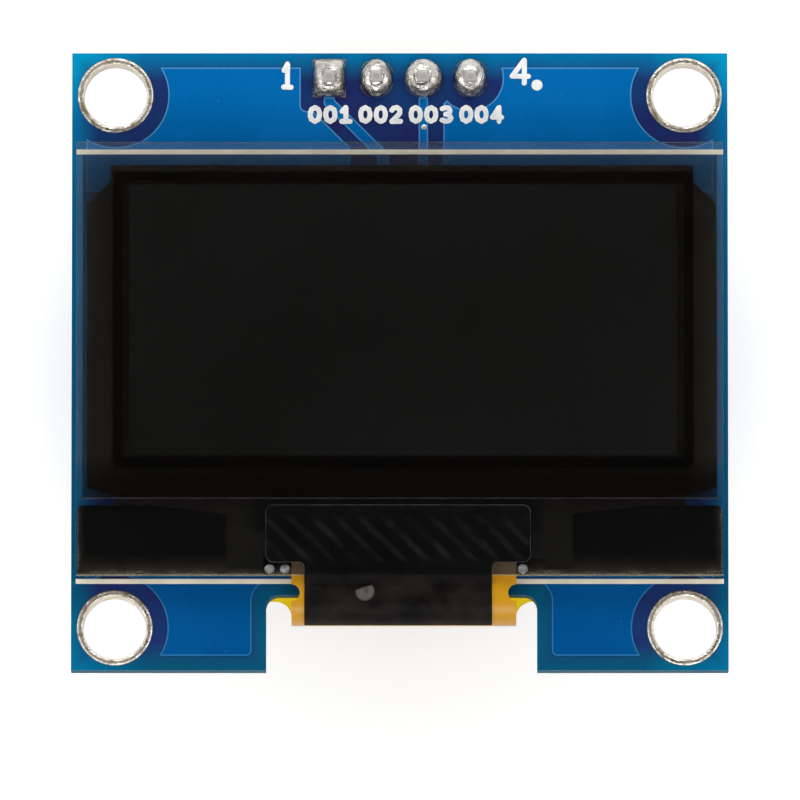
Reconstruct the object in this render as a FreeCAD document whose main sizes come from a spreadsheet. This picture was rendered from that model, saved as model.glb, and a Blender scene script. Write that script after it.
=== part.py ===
import FreeCAD, Part
import os
import re
import Sketcher

# A small OLED display module: a glass panel stuck on a square circuit board,
# with its ribbon folded round a notch in the board and a four-pin header.
#
# Frame: millimetres. The board lies flat, its rear face at z = 0 and the
# display towards +Z. +X is right and +Y is towards the header edge. The
# origin is the centre of the four mounting holes on the rear face.

SIZES = (
    ("board_width", 35.4, "circuit board, left to right"),
    ("board_height", 33.5, "circuit board, notch edge to header edge"),
    ("board_thick", 1.6, "circuit board laminate"),
    ("copper_thick", 0.035, "copper under the solder mask"),
    ("ink_thick", 0.02, "printed ink"),
    ("hole_inset_x", 2.35, "mounting hole centre to the side edge"),
    ("hole_inset_y", 2.3, "mounting hole centre to the top or bottom edge"),
    ("hole_radius", 1.7, "finished mounting hole"),
    ("rim_width", 0.35, "tinned rim round a mounting hole"),
    ("halo_width", 1.15, "bare ring between a mounting hole and the copper"),
    ("plating_wall", 0.05, "tin in a mounting hole"),
    ("notch_room", 1.25, "notch to the ribbon's side"),
    ("notch_shift", -0.12, "middle of the notch from the middle of the ribbon"),
    ("notch_gap", 0.92, "panel's lower edge to the notch"),
    ("notch_round", 0.7, "inner corners of the notch"),
    ("pin_pitch", 2.54, "header pins, centre to centre"),
    ("header_inset", 1.36, "header row to the board's top edge"),
    ("pin_side", 0.64, "square header pin"),
    ("pin_length", 11.3, "header pin, tip to tip"),
    ("pin_rise", 1.1, "header pin above the board's front"),
    ("pin_taper", 0.14, "chamfer on the pin's ends"),
    ("header_depth", 2.5, "header moulding, along Y"),
    ("header_height", 2.54, "header moulding, along Z"),
    ("header_chamfer", 0.42, "notches between the header's cells"),
    ("drill_radius", 0.52, "finished header hole"),
    ("barrel_wall", 0.04, "tin in a header hole"),
    ("pad_width", 1.8, "header pad, along X"),
    ("wide_pad_width", 2.1, "pad of the third pin, along X"),
    ("pad_length", 2.1, "header pad, along Y"),
    ("pad_thick", 0.045, "header pad above the board"),
    ("solder_height", 0.9, "header solder joint above its pad"),
    ("solder_shoulder", 0.7, "radius of the joint half way up"),
    ("solder_crown", 0.45, "radius of the joint at its top"),
    ("panel_inset", 0.275, "display glass to the board's side edge"),
    ("panel_top_gap", 5.055, "display glass to the board's top edge"),
    ("panel_foot_gap", 4.995, "display glass to the board's bottom edge"),
    ("ledge_height", 4.11, "part of the front glass below the rear glass"),
    ("foam_thick", 0.4, "double-sided foam under the panel"),
    ("foam_inset", 0.7, "foam inside the black film"),
    ("film_thick", 0.05, "black film on the rear glass"),
    ("film_side", 0.46, "black film to the side of the glass"),
    ("film_top", 1.125, "black film to the top of the glass"),
    ("film_foot", 0.16, "black film above the end of the rear glass"),
    ("film_step", 0.9, "step down at the film's top corners"),
    ("film_step_in", 1.25, "step's distance from the film's side"),
    ("film_slope", 1.24, "fall of the film's corner below the step"),
    ("film_cut", 1.9, "slanted lower corner of the film, along X"),
    ("film_cut_rise", 0.54, "slanted lower corner of the film, along Y"),
    ("film_shift", 0.1, "middle of the film to the right"),
    ("cap_thick", 0.7, "rear glass"),
    ("cavity_inset", 2.3, "recess to the side of the rear glass"),
    ("cavity_top_gap", 2.075, "recess to the top of the rear glass"),
    ("cavity_foot_gap", 2.165, "recess to the lower end of the rear glass"),
    ("cavity_shift", 0.18, "middle of the recess to the right"),
    ("cavity_depth", 0.3, "depth of the recess"),
    ("cavity_round", 0.3, "corners of the recess"),
    ("sheet_inset", 1.0, "drying sheet inside the recess"),
    ("sheet_thick", 0.18, "drying sheet"),
    ("seal_thick", 0.05, "seal between the glasses"),
    ("seal_width", 0.5, "seal round the recess"),
    ("glass_thick", 0.5, "front glass"),
    ("active_inset_x", 0.39, "lit area to the side of the recess"),
    ("active_inset_y", 0.2, "lit area to the top and foot of the recess"),
    ("active_thick", 0.02, "light-making layers"),
    ("polarizer_thick", 0.2, "polarizer on the front glass"),
    ("polarizer_side", 0.35, "polarizer to the side of the glass"),
    ("polarizer_top", 0.72, "polarizer to the top of the glass"),
    ("polarizer_foot", 0.02, "polarizer above the end of the rear glass"),
    ("backing_side", 0.09, "ledge backing to the side of the glass"),
    ("backing_top", 0.33, "ledge backing below the rear glass"),
    ("backing_foot", 0.08, "ledge backing above the glass's lower edge"),
    ("backing_gap_height", 0.95, "beads' room in the backing, above the glass's edge"),
    ("bead_clear", 0.04, "backing below the glue beads"),
    ("chip_width", 11.6, "driver chip, along X"),
    ("chip_height", 1.0, "driver chip, along Y"),
    ("chip_thick", 0.4, "driver chip"),
    ("chip_drop", 1.5, "middle of the driver chip below the rear glass"),
    ("chip_room", 0.25, "room round the driver chip"),
    ("coat_width", 18.6, "resin coat on the ledge, along X"),
    ("coat_height", 3.76, "resin coat on the ledge, along Y"),
    ("coat_drop", 0.02, "top of the coat below the rear glass"),
    ("coat_brow_width", 30.7, "coat beside the rear glass, along X"),
    ("coat_slant_width", 26.3, "coat where its sides start to slant in"),
    ("coat_slant", 0.45, "fall of the coat's slanted sides"),
    ("coat_thick", 0.04, "resin coat"),
    ("flex_width", 12.1, "ribbon at the fold"),
    ("flex_thick", 0.1, "ribbon"),
    ("flex_shift", 0.22, "middle of the ribbon to the right"),
    ("flex_bond", 0.82, "ribbon stuck to the ledge"),
    ("fold_gap", 0.2, "start of the fold below the notch"),
    ("relief_radius", 0.45, "round reliefs beside the fold"),
    ("flare_radius", 0.9, "curve from the fold to the wide tail"),
    ("tail_margin", 0.59, "tail beyond its outer solder joints"),
    ("tail_length", 5.4, "tail behind the board, from the fold"),
    ("joint_pitch", 0.62, "ribbon solder joints, centre to centre"),
    ("joint_width", 0.34, "ribbon solder joint, along X"),
    ("joint_length", 1.3, "ribbon solder joint, along Y"),
    ("joint_thick", 0.12, "ribbon solder joint"),
    ("joint_inset", 0.25, "ribbon solder joints from the tail's end"),
    ("tape_overlap", 1.07, "shading tape on the glass, beyond the ribbon's side"),
    ("tape_inset", 1.0, "shading tape over the ribbon, inside its side"),
    ("tape_shift", -0.31, "middle of the tape from the middle of the ribbon"),
    ("tape_drop", 0.34, "top of the tape below the rear glass"),
    ("tape_height", 3.1, "wide part of the tape"),
    ("tape_thick", 0.06, "shading tape"),
    ("tape_round", 0.4, "outer corners of the tape"),
    ("tape_crotch", 0.3, "inner corners of the tape"),
    ("tape_slope", 0.45, "tape's fall from the glass to the ribbon, along Y"),
    ("bead_radius", 0.28, "glue bead beside the ribbon"),
    ("bead_thick", 0.3, "glue bead"),
    ("bead_gap", 0.06, "glue bead from the ribbon's side"),
    ("bead_rise", 0.36, "middle of a bead above the glass's lower edge"),
    ("pour_margin", 0.78, "copper field from the board's edge"),
    ("pour_reach", 2.5, "copper field under the panel"),
    ("pour_pin_gap", 1.54, "copper field beside the outer pins"),
    ("pour_end_gap", 1.6, "right-hand copper field beside the fourth pin"),
    ("pour_shelf", 1.4, "copper field below the header row"),
    ("pour_pin_round", 1.75, "bare round space about the third and fourth pins"),
    ("pour_slant", 0.87, "slanted side's start to the left of the first pin"),
    ("pour_channel", 1.08, "right-hand copper field from the third pin"),
    ("pour_heel", 1.13, "left-hand copper field's foot from the first pin"),
    ("pour_round", 0.3, "corners of the copper fields"),
    ("pour_notch_round", 1.1, "copper field's corner beside the notch"),
    ("trace_wide", 0.6, "trace of the first pin"),
    ("trace_thin", 0.51, "trace of the third pin"),
    ("trace_bend", 1.32, "trace's bend below the header row"),
    ("trace_side", 2.9, "sideways run of the first pin's trace"),
    ("line_width", 0.27, "printed outline of the panel"),
    ("line_end_gap", 0.25, "printed line to the board's side edge"),
    ("line_inset", 0.35, "upper line inside the panel's edge"),
    ("line_gap", 0.19, "lower line below the panel's edge"),
    ("digit_width", 0.72, "printed label digit"),
    ("digit_height", 1.03, "printed label digit"),
    ("digit_stroke", 0.22, "printed stroke"),
    ("digit_step", 0.84, "label digits, first to second"),
    ("label_drop", 1.98, "label row below the header row"),
    ("label_spread", 0.19, "labels, centre to centre, more than the pins"),
    ("label_shift", 0.33, "label row to the right of the header"),
    ("numeral_width", 1.08, "printed pin numeral"),
    ("numeral_height", 1.48, "printed pin numeral"),
    ("numeral_gap", 2.7, "pin numeral beside the outer pins"),
    ("numeral_rise", 0.24, "pin numeral above the header row"),
    ("dot_radius", 0.3, "printed dot"),
    ("dot_gap", 3.6, "printed dot beside the fourth pin"),
    ("dot_drop", 0.38, "printed dot below the header row"),
    ("part_length", 1.6, "chip capacitor or resistor"),
    ("part_width", 0.8, "chip capacitor or resistor"),
    ("part_end", 0.35, "metal end of a chip part"),
    ("part_lip", 0.02, "metal end proud of the chip's sides"),
    ("capacitor_thick", 0.8, "chip capacitor"),
    ("resistor_thick", 0.45, "chip resistor"),
    ("part_step", 2.5, "chip parts, centre to centre"),
    ("capacitor_row", -3.6, "row of capacitors behind the board"),
    ("resistor_row", 0.4, "row of resistors behind the board"),
    ("part_row_left", -9.6, "first chip part in a row"),
    ("regulator_length", 2.9, "voltage regulator body"),
    ("regulator_width", 1.4, "voltage regulator body"),
    ("regulator_thick", 1.0, "voltage regulator body"),
    ("regulator_stand", 0.1, "regulator body off the board"),
    ("regulator_x", 9.4, "voltage regulator"),
    ("regulator_y", 6.8, "voltage regulator"),
    ("lead_width", 0.4, "regulator lead"),
    ("lead_thick", 0.12, "regulator lead"),
    ("lead_reach", 0.55, "regulator lead out of the body"),
    ("lead_step", 0.95, "regulator leads, middle to side"),
)

PIN_COUNT = 4
JOINT_COUNT = 30
CHIP_PARTS_IN_A_ROW = 6
PRINTED_LABELS = ("001", "002", "003", "004")
PAD_WIDTHS = ("pad_width", "pad_width", "wide_pad_width", "pad_width")
TAN_OF_HALF_BEND = 0.41421
PAD_ROUNDNESS = 0.46

# Levels up from the board's rear face
SKIN = "(board_thick + copper_thick)"
FILM_BACK = f"({SKIN} + foam_thick)"
CAP_BACK = f"({FILM_BACK} + film_thick)"
CAP_FRONT = f"({CAP_BACK} + cap_thick)"
GLASS_BACK = f"({CAP_FRONT} + seal_thick)"
GLASS_FRONT = f"({GLASS_BACK} + glass_thick)"

# Places on the board
HOLE_X = "(board_width / 2 - hole_inset_x)"
HOLE_Y = "(board_height / 2 - hole_inset_y)"
HEADER_Y = "(board_height / 2 - header_inset)"
PANEL_HALF = "(board_width / 2 - panel_inset)"
PANEL_TOP = "(board_height / 2 - panel_top_gap)"
PANEL_FOOT = "(-board_height / 2 + panel_foot_gap)"
CAP_FOOT = f"({PANEL_FOOT} + ledge_height)"
NOTCH_TOP = f"({PANEL_FOOT} - notch_gap)"
FOLD_Y = f"({NOTCH_TOP} - fold_gap)"
FOLD_RADIUS = f"(({GLASS_BACK} + flex_thick) / 2)"
FOLD_Z = f"(({GLASS_BACK} - flex_thick) / 2)"
NOTCH_SHIFT = "(flex_shift + notch_shift)"
NOTCH_WIDTH = "(flex_width + 2 * notch_room)"
TAPE_SHIFT = "(flex_shift + tape_shift)"
TAIL_WIDTH = f"({JOINT_COUNT - 1} * joint_pitch + joint_width + 2 * tail_margin)"
CAVITY_HALF = f"({PANEL_HALF} - cavity_inset)"
CAVITY_TOP = f"({PANEL_TOP} - cavity_top_gap)"
CAVITY_FOOT = f"({CAP_FOOT} + cavity_foot_gap)"
BEAD_STEP = "(3 * bead_radius)"
BEAD_ROOM = f"(2 * bead_gap + 2 * bead_radius + {BEAD_STEP})"
FIRST_PIN = f"(-{PIN_COUNT - 1} / 2 * pin_pitch)"
LAST_PIN = f"({PIN_COUNT - 1} / 2 * pin_pitch)"

DOC = FreeCAD.newDocument("OledModule")
NODES = []


def make_sheet():
    """Writes the driving sizes into the spreadsheet, one row each."""
    sheet = DOC.addObject("Spreadsheet::Sheet", "Sizes")
    for row, (alias, size, note) in enumerate(SIZES, start=1):
        sheet.set(f"A{row}", alias)
        sheet.set(f"B{row}", str(size))
        sheet.set(f"C{row}", note)
        sheet.setAlias(f"B{row}", alias)
    DOC.recompute()
    return sheet


SHEET = make_sheet()
ALIASES = {alias for alias, size, note in SIZES}


def tie(text):
    """An expression in which each alias points at its cell."""
    return re.sub(r"[a-z][a-z_]+", lambda word: link(word.group()), text)


def link(word):
    """The cell that an alias names, or the word itself."""
    return f"Sizes.{word}" if word in ALIASES else word


def number(text):
    """What an expression of the aliases comes to now."""
    return float(SHEET.evalExpression(tie(text)))


def bind(thing, **sizes):
    """Ties a thing's sizes to expressions of the aliases."""
    for name, text in sizes.items():
        thing.setExpression(name, tie(text))


def place(thing, x, y, z):
    """Ties a thing's place to expressions of the aliases."""
    for axis, text in zip("xyz", (x, y, z)):
        thing.setExpression(f"Placement.Base.{axis}", tie(text))


def keep(thing, label):
    """Makes a thing one of the module's named pieces."""
    thing.Label = label
    NODES.append(thing)
    return thing


def middle(centre, size):
    """The two bounds of a size about its centre."""
    return f"({centre}) - ({size}) / 2", f"({centre}) + ({size}) / 2"


def block(name, across, along, up):
    """A box between two bounds on each axis."""
    box = DOC.addObject("Part::Box", name)
    sides = zip(("Length", "Width", "Height"), (across, along, up))
    bind(box, **{side: f"({high}) - ({low})" for side, (low, high) in sides})
    place(box, across[0], along[0], up[0])
    return box


def post(name, radius, x, y, up):
    """An upright cylinder between two levels."""
    cylinder = DOC.addObject("Part::Cylinder", name)
    bind(cylinder, Radius=radius, Height=f"({up[1]}) - ({up[0]})")
    place(cylinder, x, y, up[0])
    return cylinder


def roller(name, radius, across, y, z):
    """A cylinder that lies along X between two bounds."""
    cylinder = DOC.addObject("Part::Cylinder", name)
    cylinder.Placement.Rotation = FreeCAD.Rotation(FreeCAD.Vector(0, 1, 0), 90)
    bind(cylinder, Radius=radius, Height=f"({across[1]}) - ({across[0]})")
    place(cylinder, across[0], y, z)
    return cylinder


def cut(name, base, *tools):
    """The base less each tool in turn."""
    for count, tool in enumerate(tools, start=1):
        rest = DOC.addObject("Part::Cut", f"{name}Cut{count}")
        rest.Base = base
        rest.Tool = tool
        base = rest
    return base


def fuse(name, pieces):
    """One solid made of pieces that touch."""
    whole = DOC.addObject("Part::MultiFuse", name)
    whole.Shapes = pieces
    whole.Refine = True
    return whole


def group(name, pieces):
    """A set of separate solids in one node."""
    compound = DOC.addObject("Part::Compound", name)
    compound.Links = pieces
    return compound


def new_sketch(body, name, role):
    """An empty sketch on one of the body's own origin planes."""
    sketch = body.newObject("Sketcher::SketchObject", name)
    plane = next(item for item in body.Origin.OriginFeatures if item.Role == role)
    sketch.AttachmentSupport = [(plane, "")]
    sketch.MapMode = "FlatFace"
    return sketch


def pin_point(sketch, index, end, corner):
    """Ties one point of a sketch to two expressions, from the sketch's origin."""
    for kind, text in zip(("DistanceX", "DistanceY"), corner):
        limit = Sketcher.Constraint(kind, -1, 1, index, end, number(text))
        at = sketch.addConstraint(limit)
        sketch.setExpression(f"Constraints[{at}]", tie(text))


def outline(body, name, role, corners):
    """A closed outline of straight lines, each corner tied to the sheet."""
    sketch = new_sketch(body, name, role)
    points = [FreeCAD.Vector(number(x), number(y), 0) for x, y in corners]
    for index, point in enumerate(points):
        after = points[(index + 1) % len(points)]
        sketch.addGeometry(Part.LineSegment(point, after), False)
    for index in range(len(points)):
        before = (index - 1) % len(points)
        sketch.addConstraint(Sketcher.Constraint("Coincident", before, 2, index, 1))
    for index, corner in enumerate(corners):
        pin_point(sketch, index, 1, corner)
    return sketch


def circles(body, name, role, rounds):
    """A sketch of circles, each given by its centre and radius."""
    sketch = new_sketch(body, name, role)
    for index, (x, y, radius) in enumerate(rounds):
        centre = FreeCAD.Vector(number(x), number(y), 0)
        circle = Part.Circle(centre, FreeCAD.Vector(0, 0, 1), number(radius))
        sketch.addGeometry(circle, False)
        pin_point(sketch, index, 3, (x, y))
        at = sketch.addConstraint(Sketcher.Constraint("Radius", index, number(radius)))
        sketch.setExpression(f"Constraints[{at}]", tie(radius))
    return sketch


def pad(body, name, sketch, length):
    """Gives a sketch its thickness."""
    feature = body.newObject("PartDesign::Pad", name)
    feature.Profile = sketch
    bind(feature, Length=length)
    return feature


def plate(name, corners, up, rounds=()):
    """A flat piece with straight sides; rounds gives corners and their radius."""
    body = DOC.addObject("PartDesign::Body", name)
    sketch = outline(body, f"{name}Outline", "XY_Plane", corners)
    feature = pad(body, f"{name}Pad", sketch, f"({up[1]}) - ({up[0]})")
    DOC.recompute()
    for count, (which, radius) in enumerate(rounds):
        edges = upright_edges(feature, [corners[index] for index in which])
        rounding = body.newObject("PartDesign::Fillet", f"{name}Round{count}")
        rounding.Base = (feature, edges)
        bind(rounding, Radius=radius)
        DOC.recompute()
        feature = rounding
    place(body, "0", "0", up[0])
    return body


def upright_edges(feature, corners):
    """The names of the upright edges that stand at the given corners."""
    spots = [FreeCAD.Vector(number(x), number(y), 0) for x, y in corners]
    names = []
    for index, edge in enumerate(feature.Shape.Edges, start=1):
        start, end = edge.Vertexes[0].Point, edge.Vertexes[-1].Point
        upright = abs(start.z - end.z) > 1e-6
        flat = FreeCAD.Vector(start.x, start.y, 0)
        if upright and any(flat.distanceToPoint(spot) < 1e-4 for spot in spots):
            names.append(f"Edge{index}")
    return names


def strip(name, corners, across):
    """A piece of one section in Y and Z, straight along X."""
    body = DOC.addObject("PartDesign::Body", name)
    sketch = outline(body, f"{name}Section", "YZ_Plane", corners)
    pad(body, f"{name}Pad", sketch, f"({across[1]}) - ({across[0]})")
    place(body, across[0], "0", "0")
    return body


def turned(name, corners, x, y):
    """A piece turned about the upright line at x and y, from radius and level."""
    body = DOC.addObject("PartDesign::Body", name)
    sketch = outline(body, f"{name}Profile", "XZ_Plane", corners)
    spin = body.newObject("PartDesign::Revolution", f"{name}Spin")
    spin.Profile = sketch
    spin.ReferenceAxis = (sketch, ["V_Axis"])
    spin.Angle = 360
    place(body, x, y, "0")
    return body


def rectangle(across, along):
    """The four corners of a rectangle, counterclockwise from the lower left."""
    return [(across[0], along[0]), (across[1], along[0]),
            (across[1], along[1]), (across[0], along[1])]


def pin_x(index):
    """Where a header pin stands, counted from 0 at the left."""
    return f"({FIRST_PIN} + {index} * pin_pitch)"


def hole_centres():
    """The mounting holes: top left, top right, bottom left, bottom right."""
    return [(f"({side} * {HOLE_X})", f"({end} * {HOLE_Y})")
            for end in (1, -1) for side in (-1, 1)]


def board():
    """The laminate with its ribbon notch and all its drilled holes."""
    left, right = middle("0", "board_width")
    low, high = middle("0", "board_height")
    notch_left, notch_right = middle(NOTCH_SHIFT, NOTCH_WIDTH)
    corners = [(left, low), (notch_left, low), (notch_left, NOTCH_TOP),
               (notch_right, NOTCH_TOP), (notch_right, low), (right, low),
               (right, high), (left, high)]
    body = plate("Board", corners, ("0", "board_thick"), [((2, 3), "notch_round")])
    drilled = [(x, y, "hole_radius + plating_wall") for x, y in hole_centres()]
    drilled += [(pin_x(index), HEADER_Y, "drill_radius + barrel_wall")
                for index in range(PIN_COUNT)]
    solid_before = body.Shape.Volume
    holes = body.newObject("PartDesign::Pocket", "BoardHoles")
    holes.Profile = circles(body, "BoardDrill", "XY_Plane", drilled)
    holes.Type = "ThroughAll"
    holes.Reversed = True
    DOC.recompute()
    if body.Shape.Volume >= solid_before:
        raise RuntimeError("the holes cut nothing from the board")
    keep(body, "circuit_board")


def hole_platings():
    """A tinned sleeve with a rim on both faces, in each mounting hole."""
    bore = "hole_radius"
    wall = "hole_radius + plating_wall"
    rim = "hole_radius + rim_width"
    profile = [(bore, "-plating_wall"), (rim, "-plating_wall"), (rim, "0"),
               (wall, "0"), (wall, "board_thick"), (rim, "board_thick"),
               (rim, "board_thick + plating_wall"),
               (bore, "board_thick + plating_wall")]
    for count, (x, y) in enumerate(hole_centres(), start=1):
        keep(turned(f"HolePlating{count}", profile, x, y), f"hole_plating_{count}")


def header_pad(index):
    """A plated header hole with its pad on both faces; the first is square."""
    name = f"HeaderPad{index + 1}"
    wide = PAD_WIDTHS[index]
    across = middle(pin_x(index), wide)
    along = middle(HEADER_Y, "pad_length")
    rounds = [((0, 1, 2, 3), f"{wide} * {PAD_ROUNDNESS}")] if index else ()
    front = plate(f"{name}Front", rectangle(across, along),
                  ("board_thick", "board_thick + pad_thick"), rounds)
    back = plate(f"{name}Back", rectangle(across, along), ("-pad_thick", "0"), rounds)
    sleeve = post(f"{name}Sleeve", "drill_radius + barrel_wall", pin_x(index),
                  HEADER_Y, ("-pad_thick", "board_thick + pad_thick"))
    bore = post(f"{name}Bore", "drill_radius", pin_x(index), HEADER_Y,
                ("-2 * pad_thick", "board_thick + 2 * pad_thick"))
    whole = fuse(name, [front, back, sleeve])
    keep(cut(name, whole, bore), f"header_pad_{index + 1}")


def pin_hole(name, index, up):
    """The square space that a header pin takes between two levels."""
    return block(name, middle(pin_x(index), "pin_side"),
                 middle(HEADER_Y, "pin_side"), up)


def solder_joint(index):
    """Solder that fills the plated hole and climbs the pin on the front."""
    name = f"SolderJoint{index + 1}"
    foot = "board_thick + pad_thick"
    profile = [("0", "0"), ("drill_radius", "0"), ("drill_radius", foot),
               (f"{PAD_WIDTHS[index]} / 2", foot),
               ("solder_shoulder", f"{foot} + solder_height * 0.55"),
               ("solder_crown", f"{foot} + solder_height"),
               ("0", f"{foot} + solder_height")]
    solid = turned(name, profile, pin_x(index), HEADER_Y)
    space = pin_hole(f"{name}Pin", index, ("-pin_side", f"{foot} + 2 * solder_height"))
    keep(cut(name, solid, space), f"solder_joint_{index + 1}")


def header_pin(index):
    """A square pin with tapered ends, through the board and the moulding."""
    tip = "board_thick + pin_rise"
    corners = rectangle(middle(pin_x(index), "pin_side"), middle(HEADER_Y, "pin_side"))
    body = plate(f"HeaderPin{index + 1}", corners, (f"{tip} - pin_length", tip))
    DOC.recompute()
    shape = body.Tip.Shape
    ends = [f"Edge{count}" for count, edge in enumerate(shape.Edges, start=1)
            if abs(edge.Vertexes[0].Z - edge.Vertexes[-1].Z) < 1e-6]
    taper = body.newObject("PartDesign::Chamfer", f"HeaderPin{index + 1}Taper")
    taper.Base = (body.getObject(f"HeaderPin{index + 1}Pad"), ends)
    bind(taper, Size="pin_taper")
    keep(body, f"header_pin_{index + 1}")


def header_moulding():
    """The black moulding behind the board, notched between its cells."""
    front, back = [], []
    for index in range(PIN_COUNT):
        left, right = middle(pin_x(index), "pin_pitch")
        low, high = middle(HEADER_Y, "header_depth")
        front += [(left, f"{low} + header_chamfer"), (f"{left} + header_chamfer", low),
                  (f"{right} - header_chamfer", low)]
        back += [(left, f"{high} - header_chamfer"), (f"{left} + header_chamfer", high),
                 (f"{right} - header_chamfer", high)]
    end = middle(pin_x(PIN_COUNT - 1), "pin_pitch")[1]
    front.append((end, f"{low} + header_chamfer"))
    back.append((end, f"{high} - header_chamfer"))
    up = ("-pad_thick - header_height", "-pad_thick")
    moulding = plate("HeaderMoulding", front + back[::-1], up)
    spaces = [pin_hole(f"HeaderSpace{index + 1}", index,
                       (f"{up[0]} - pin_side", f"{up[1]} + pin_side"))
              for index in range(PIN_COUNT)]
    keep(cut("HeaderMoulding", moulding, *spaces), "header_body")


def header():
    """The four-pin header with its pads and solder."""
    for index in range(PIN_COUNT):
        header_pad(index)
        solder_joint(index)
        header_pin(index)
    header_moulding()


def halo(name, x, y):
    """The round space that the copper keeps clear of a mounting hole."""
    return post(name, "hole_radius + halo_width", x, y,
                ("board_thick - copper_thick", "board_thick + 2 * copper_thick"))


def pin_spaces():
    """The round spaces that the copper keeps about the third and fourth pins."""
    up = ("board_thick - copper_thick", "board_thick + 2 * copper_thick")
    return [post(f"PinSpace{index + 1}", "pour_pin_round", pin_x(index), HEADER_Y, up)
            for index in range(PIN_COUNT - 2, PIN_COUNT)]


def copper_fields():
    """The raised copper areas on the front, one at each corner."""
    skin = ("board_thick", SKIN)
    side = "(board_width / 2 - pour_margin)"
    top = "(board_height / 2 - pour_margin)"
    under_top = f"({PANEL_TOP} - pour_reach)"
    under_foot = f"({PANEL_FOOT} + pour_reach)"
    shelf = f"({HEADER_Y} - pour_shelf)"
    heel = f"({FIRST_PIN} + pour_heel)"
    shelf_low = f"({shelf} - pour_margin / 2)"
    slant_fall = "(pour_slant + pour_heel)"
    channel = f"({LAST_PIN} - pin_pitch + pour_channel)"
    notch_left, notch_right = middle(NOTCH_SHIFT, f"{NOTCH_WIDTH} + 2 * pour_margin")
    above_notch = f"({NOTCH_TOP} + pour_margin)"
    tongue = "(notch_round + 2 * pour_margin)"
    upper_left = [(f"-{side}", under_top), (heel, under_top),
                  (heel, f"{shelf_low} - {slant_fall}"),
                  (f"{FIRST_PIN} - pour_slant", shelf_low),
                  (f"{FIRST_PIN} - pour_pin_gap", shelf_low),
                  (f"{FIRST_PIN} - pour_pin_gap", top), (f"-{side}", top)]
    upper_right = [(channel, under_top), (side, under_top), (side, top),
                   (f"{LAST_PIN} + pour_end_gap", top),
                   (f"{LAST_PIN} + pour_end_gap", HEADER_Y), (channel, HEADER_Y)]
    lower_left = [(f"-{side}", f"-{top}"), (notch_left, f"-{top}"),
                  (notch_left, above_notch), (f"{notch_left} + {tongue}", above_notch),
                  (f"{notch_left} + {tongue}", under_foot), (f"-{side}", under_foot)]
    lower_right = [(notch_right, f"-{top}"), (side, f"-{top}"), (side, under_foot),
                   (f"{notch_right} - {tongue}", under_foot),
                   (f"{notch_right} - {tongue}", above_notch), (notch_right, above_notch)]
    fields = ((upper_left, [((4,), "pour_round")]), (upper_right, []),
              (lower_left, [((1,), "pour_round"), ((2,), "pour_notch_round")]),
              (lower_right, [((0,), "pour_round"), ((5,), "pour_notch_round")]))
    pieces = []
    for count, ((corners, rounds), (x, y)) in enumerate(zip(fields, hole_centres())):
        field = plate(f"Field{count}", corners, skin, rounds)
        spaces = [halo(f"Halo{count}", x, y)]
        if corners is upper_right:
            spaces += pin_spaces()
        pieces.append(cut(f"Field{count}", field, *spaces))
    keep(group("CopperFields", pieces), "copper_fields")


def signal_traces():
    """The two traces that run from pins one and three to under the panel."""
    skin = ("board_thick", SKIN)
    start = f"{HEADER_Y} - pad_length / 2"
    end = f"{PANEL_TOP} - pour_reach"
    bend = f"{HEADER_Y} - trace_bend"
    mitre = f"trace_wide / 2 * {TAN_OF_HALF_BEND}"
    near = middle(FIRST_PIN, "trace_wide")
    far = middle(f"{FIRST_PIN} + trace_side", "trace_wide")
    corners = [(near[0], start), (near[0], f"{bend} - {mitre}"),
               (far[0], f"{bend} - trace_side - {mitre}"), (far[0], end),
               (far[1], end), (far[1], f"{bend} - trace_side + {mitre}"),
               (near[1], f"{bend} + {mitre}"), (near[1], start)]
    bent = plate("FirstTrace", corners, skin)
    third = middle(f"{LAST_PIN} - pin_pitch", "trace_thin")
    straight = block("ThirdTrace", third, (end, start), skin)
    keep(group("Traces", [bent, straight]), "signal_traces")


INK = (SKIN, f"{SKIN} + ink_thick")


def panel_lines():
    """The two printed lines that mark the panel's place."""
    across = middle("0", "board_width - 2 * line_end_gap")
    upper = middle(f"{PANEL_TOP} - line_inset", "line_width")
    lower = middle(f"{PANEL_FOOT} - line_gap", "line_width")
    lines = [block("UpperLine", across, upper, INK), block("LowerLine", across, lower, INK)]
    keep(group("PanelLines", lines), "printed_lines")


# The strokes of each digit: top, middle and foot bars, then the upright ones.
STROKES = {
    "0": ("top", "foot", "upper_left", "upper_right", "lower_left", "lower_right"),
    "1": ("upper_right", "lower_right"),
    "2": ("top", "middle", "foot", "upper_right", "lower_left"),
    "3": ("top", "middle", "foot", "upper_right", "lower_right"),
    "4": ("middle", "upper_left", "upper_right", "lower_right"),
}


def stroke(name, kind, x, y, width, height):
    """One bar of a digit centred at x and y."""
    half_stroke = "digit_stroke / 2"
    left, right = middle(x, width)
    low, high = middle(y, height)
    bars = {"top": (f"{high} - digit_stroke", high), "foot": (low, f"{low} + digit_stroke"),
            "middle": (f"{y} - {half_stroke}", f"{y} + {half_stroke}")}
    if kind in bars:
        return block(name, (left, right), bars[kind], INK)
    along = (low, f"{y} + {half_stroke}") if "lower" in kind else (f"{y} - {half_stroke}", high)
    side = (left, f"{left} + digit_stroke") if "left" in kind else (f"{right} - digit_stroke", right)
    return block(name, side, along, INK)


def digit(name, character, x, y, width, height):
    """A printed digit as one flat solid."""
    bars = [stroke(f"{name}{kind.title().replace('_', '')}", kind, x, y, width, height)
            for kind in STROKES[character]]
    return fuse(name, bars)


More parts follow.
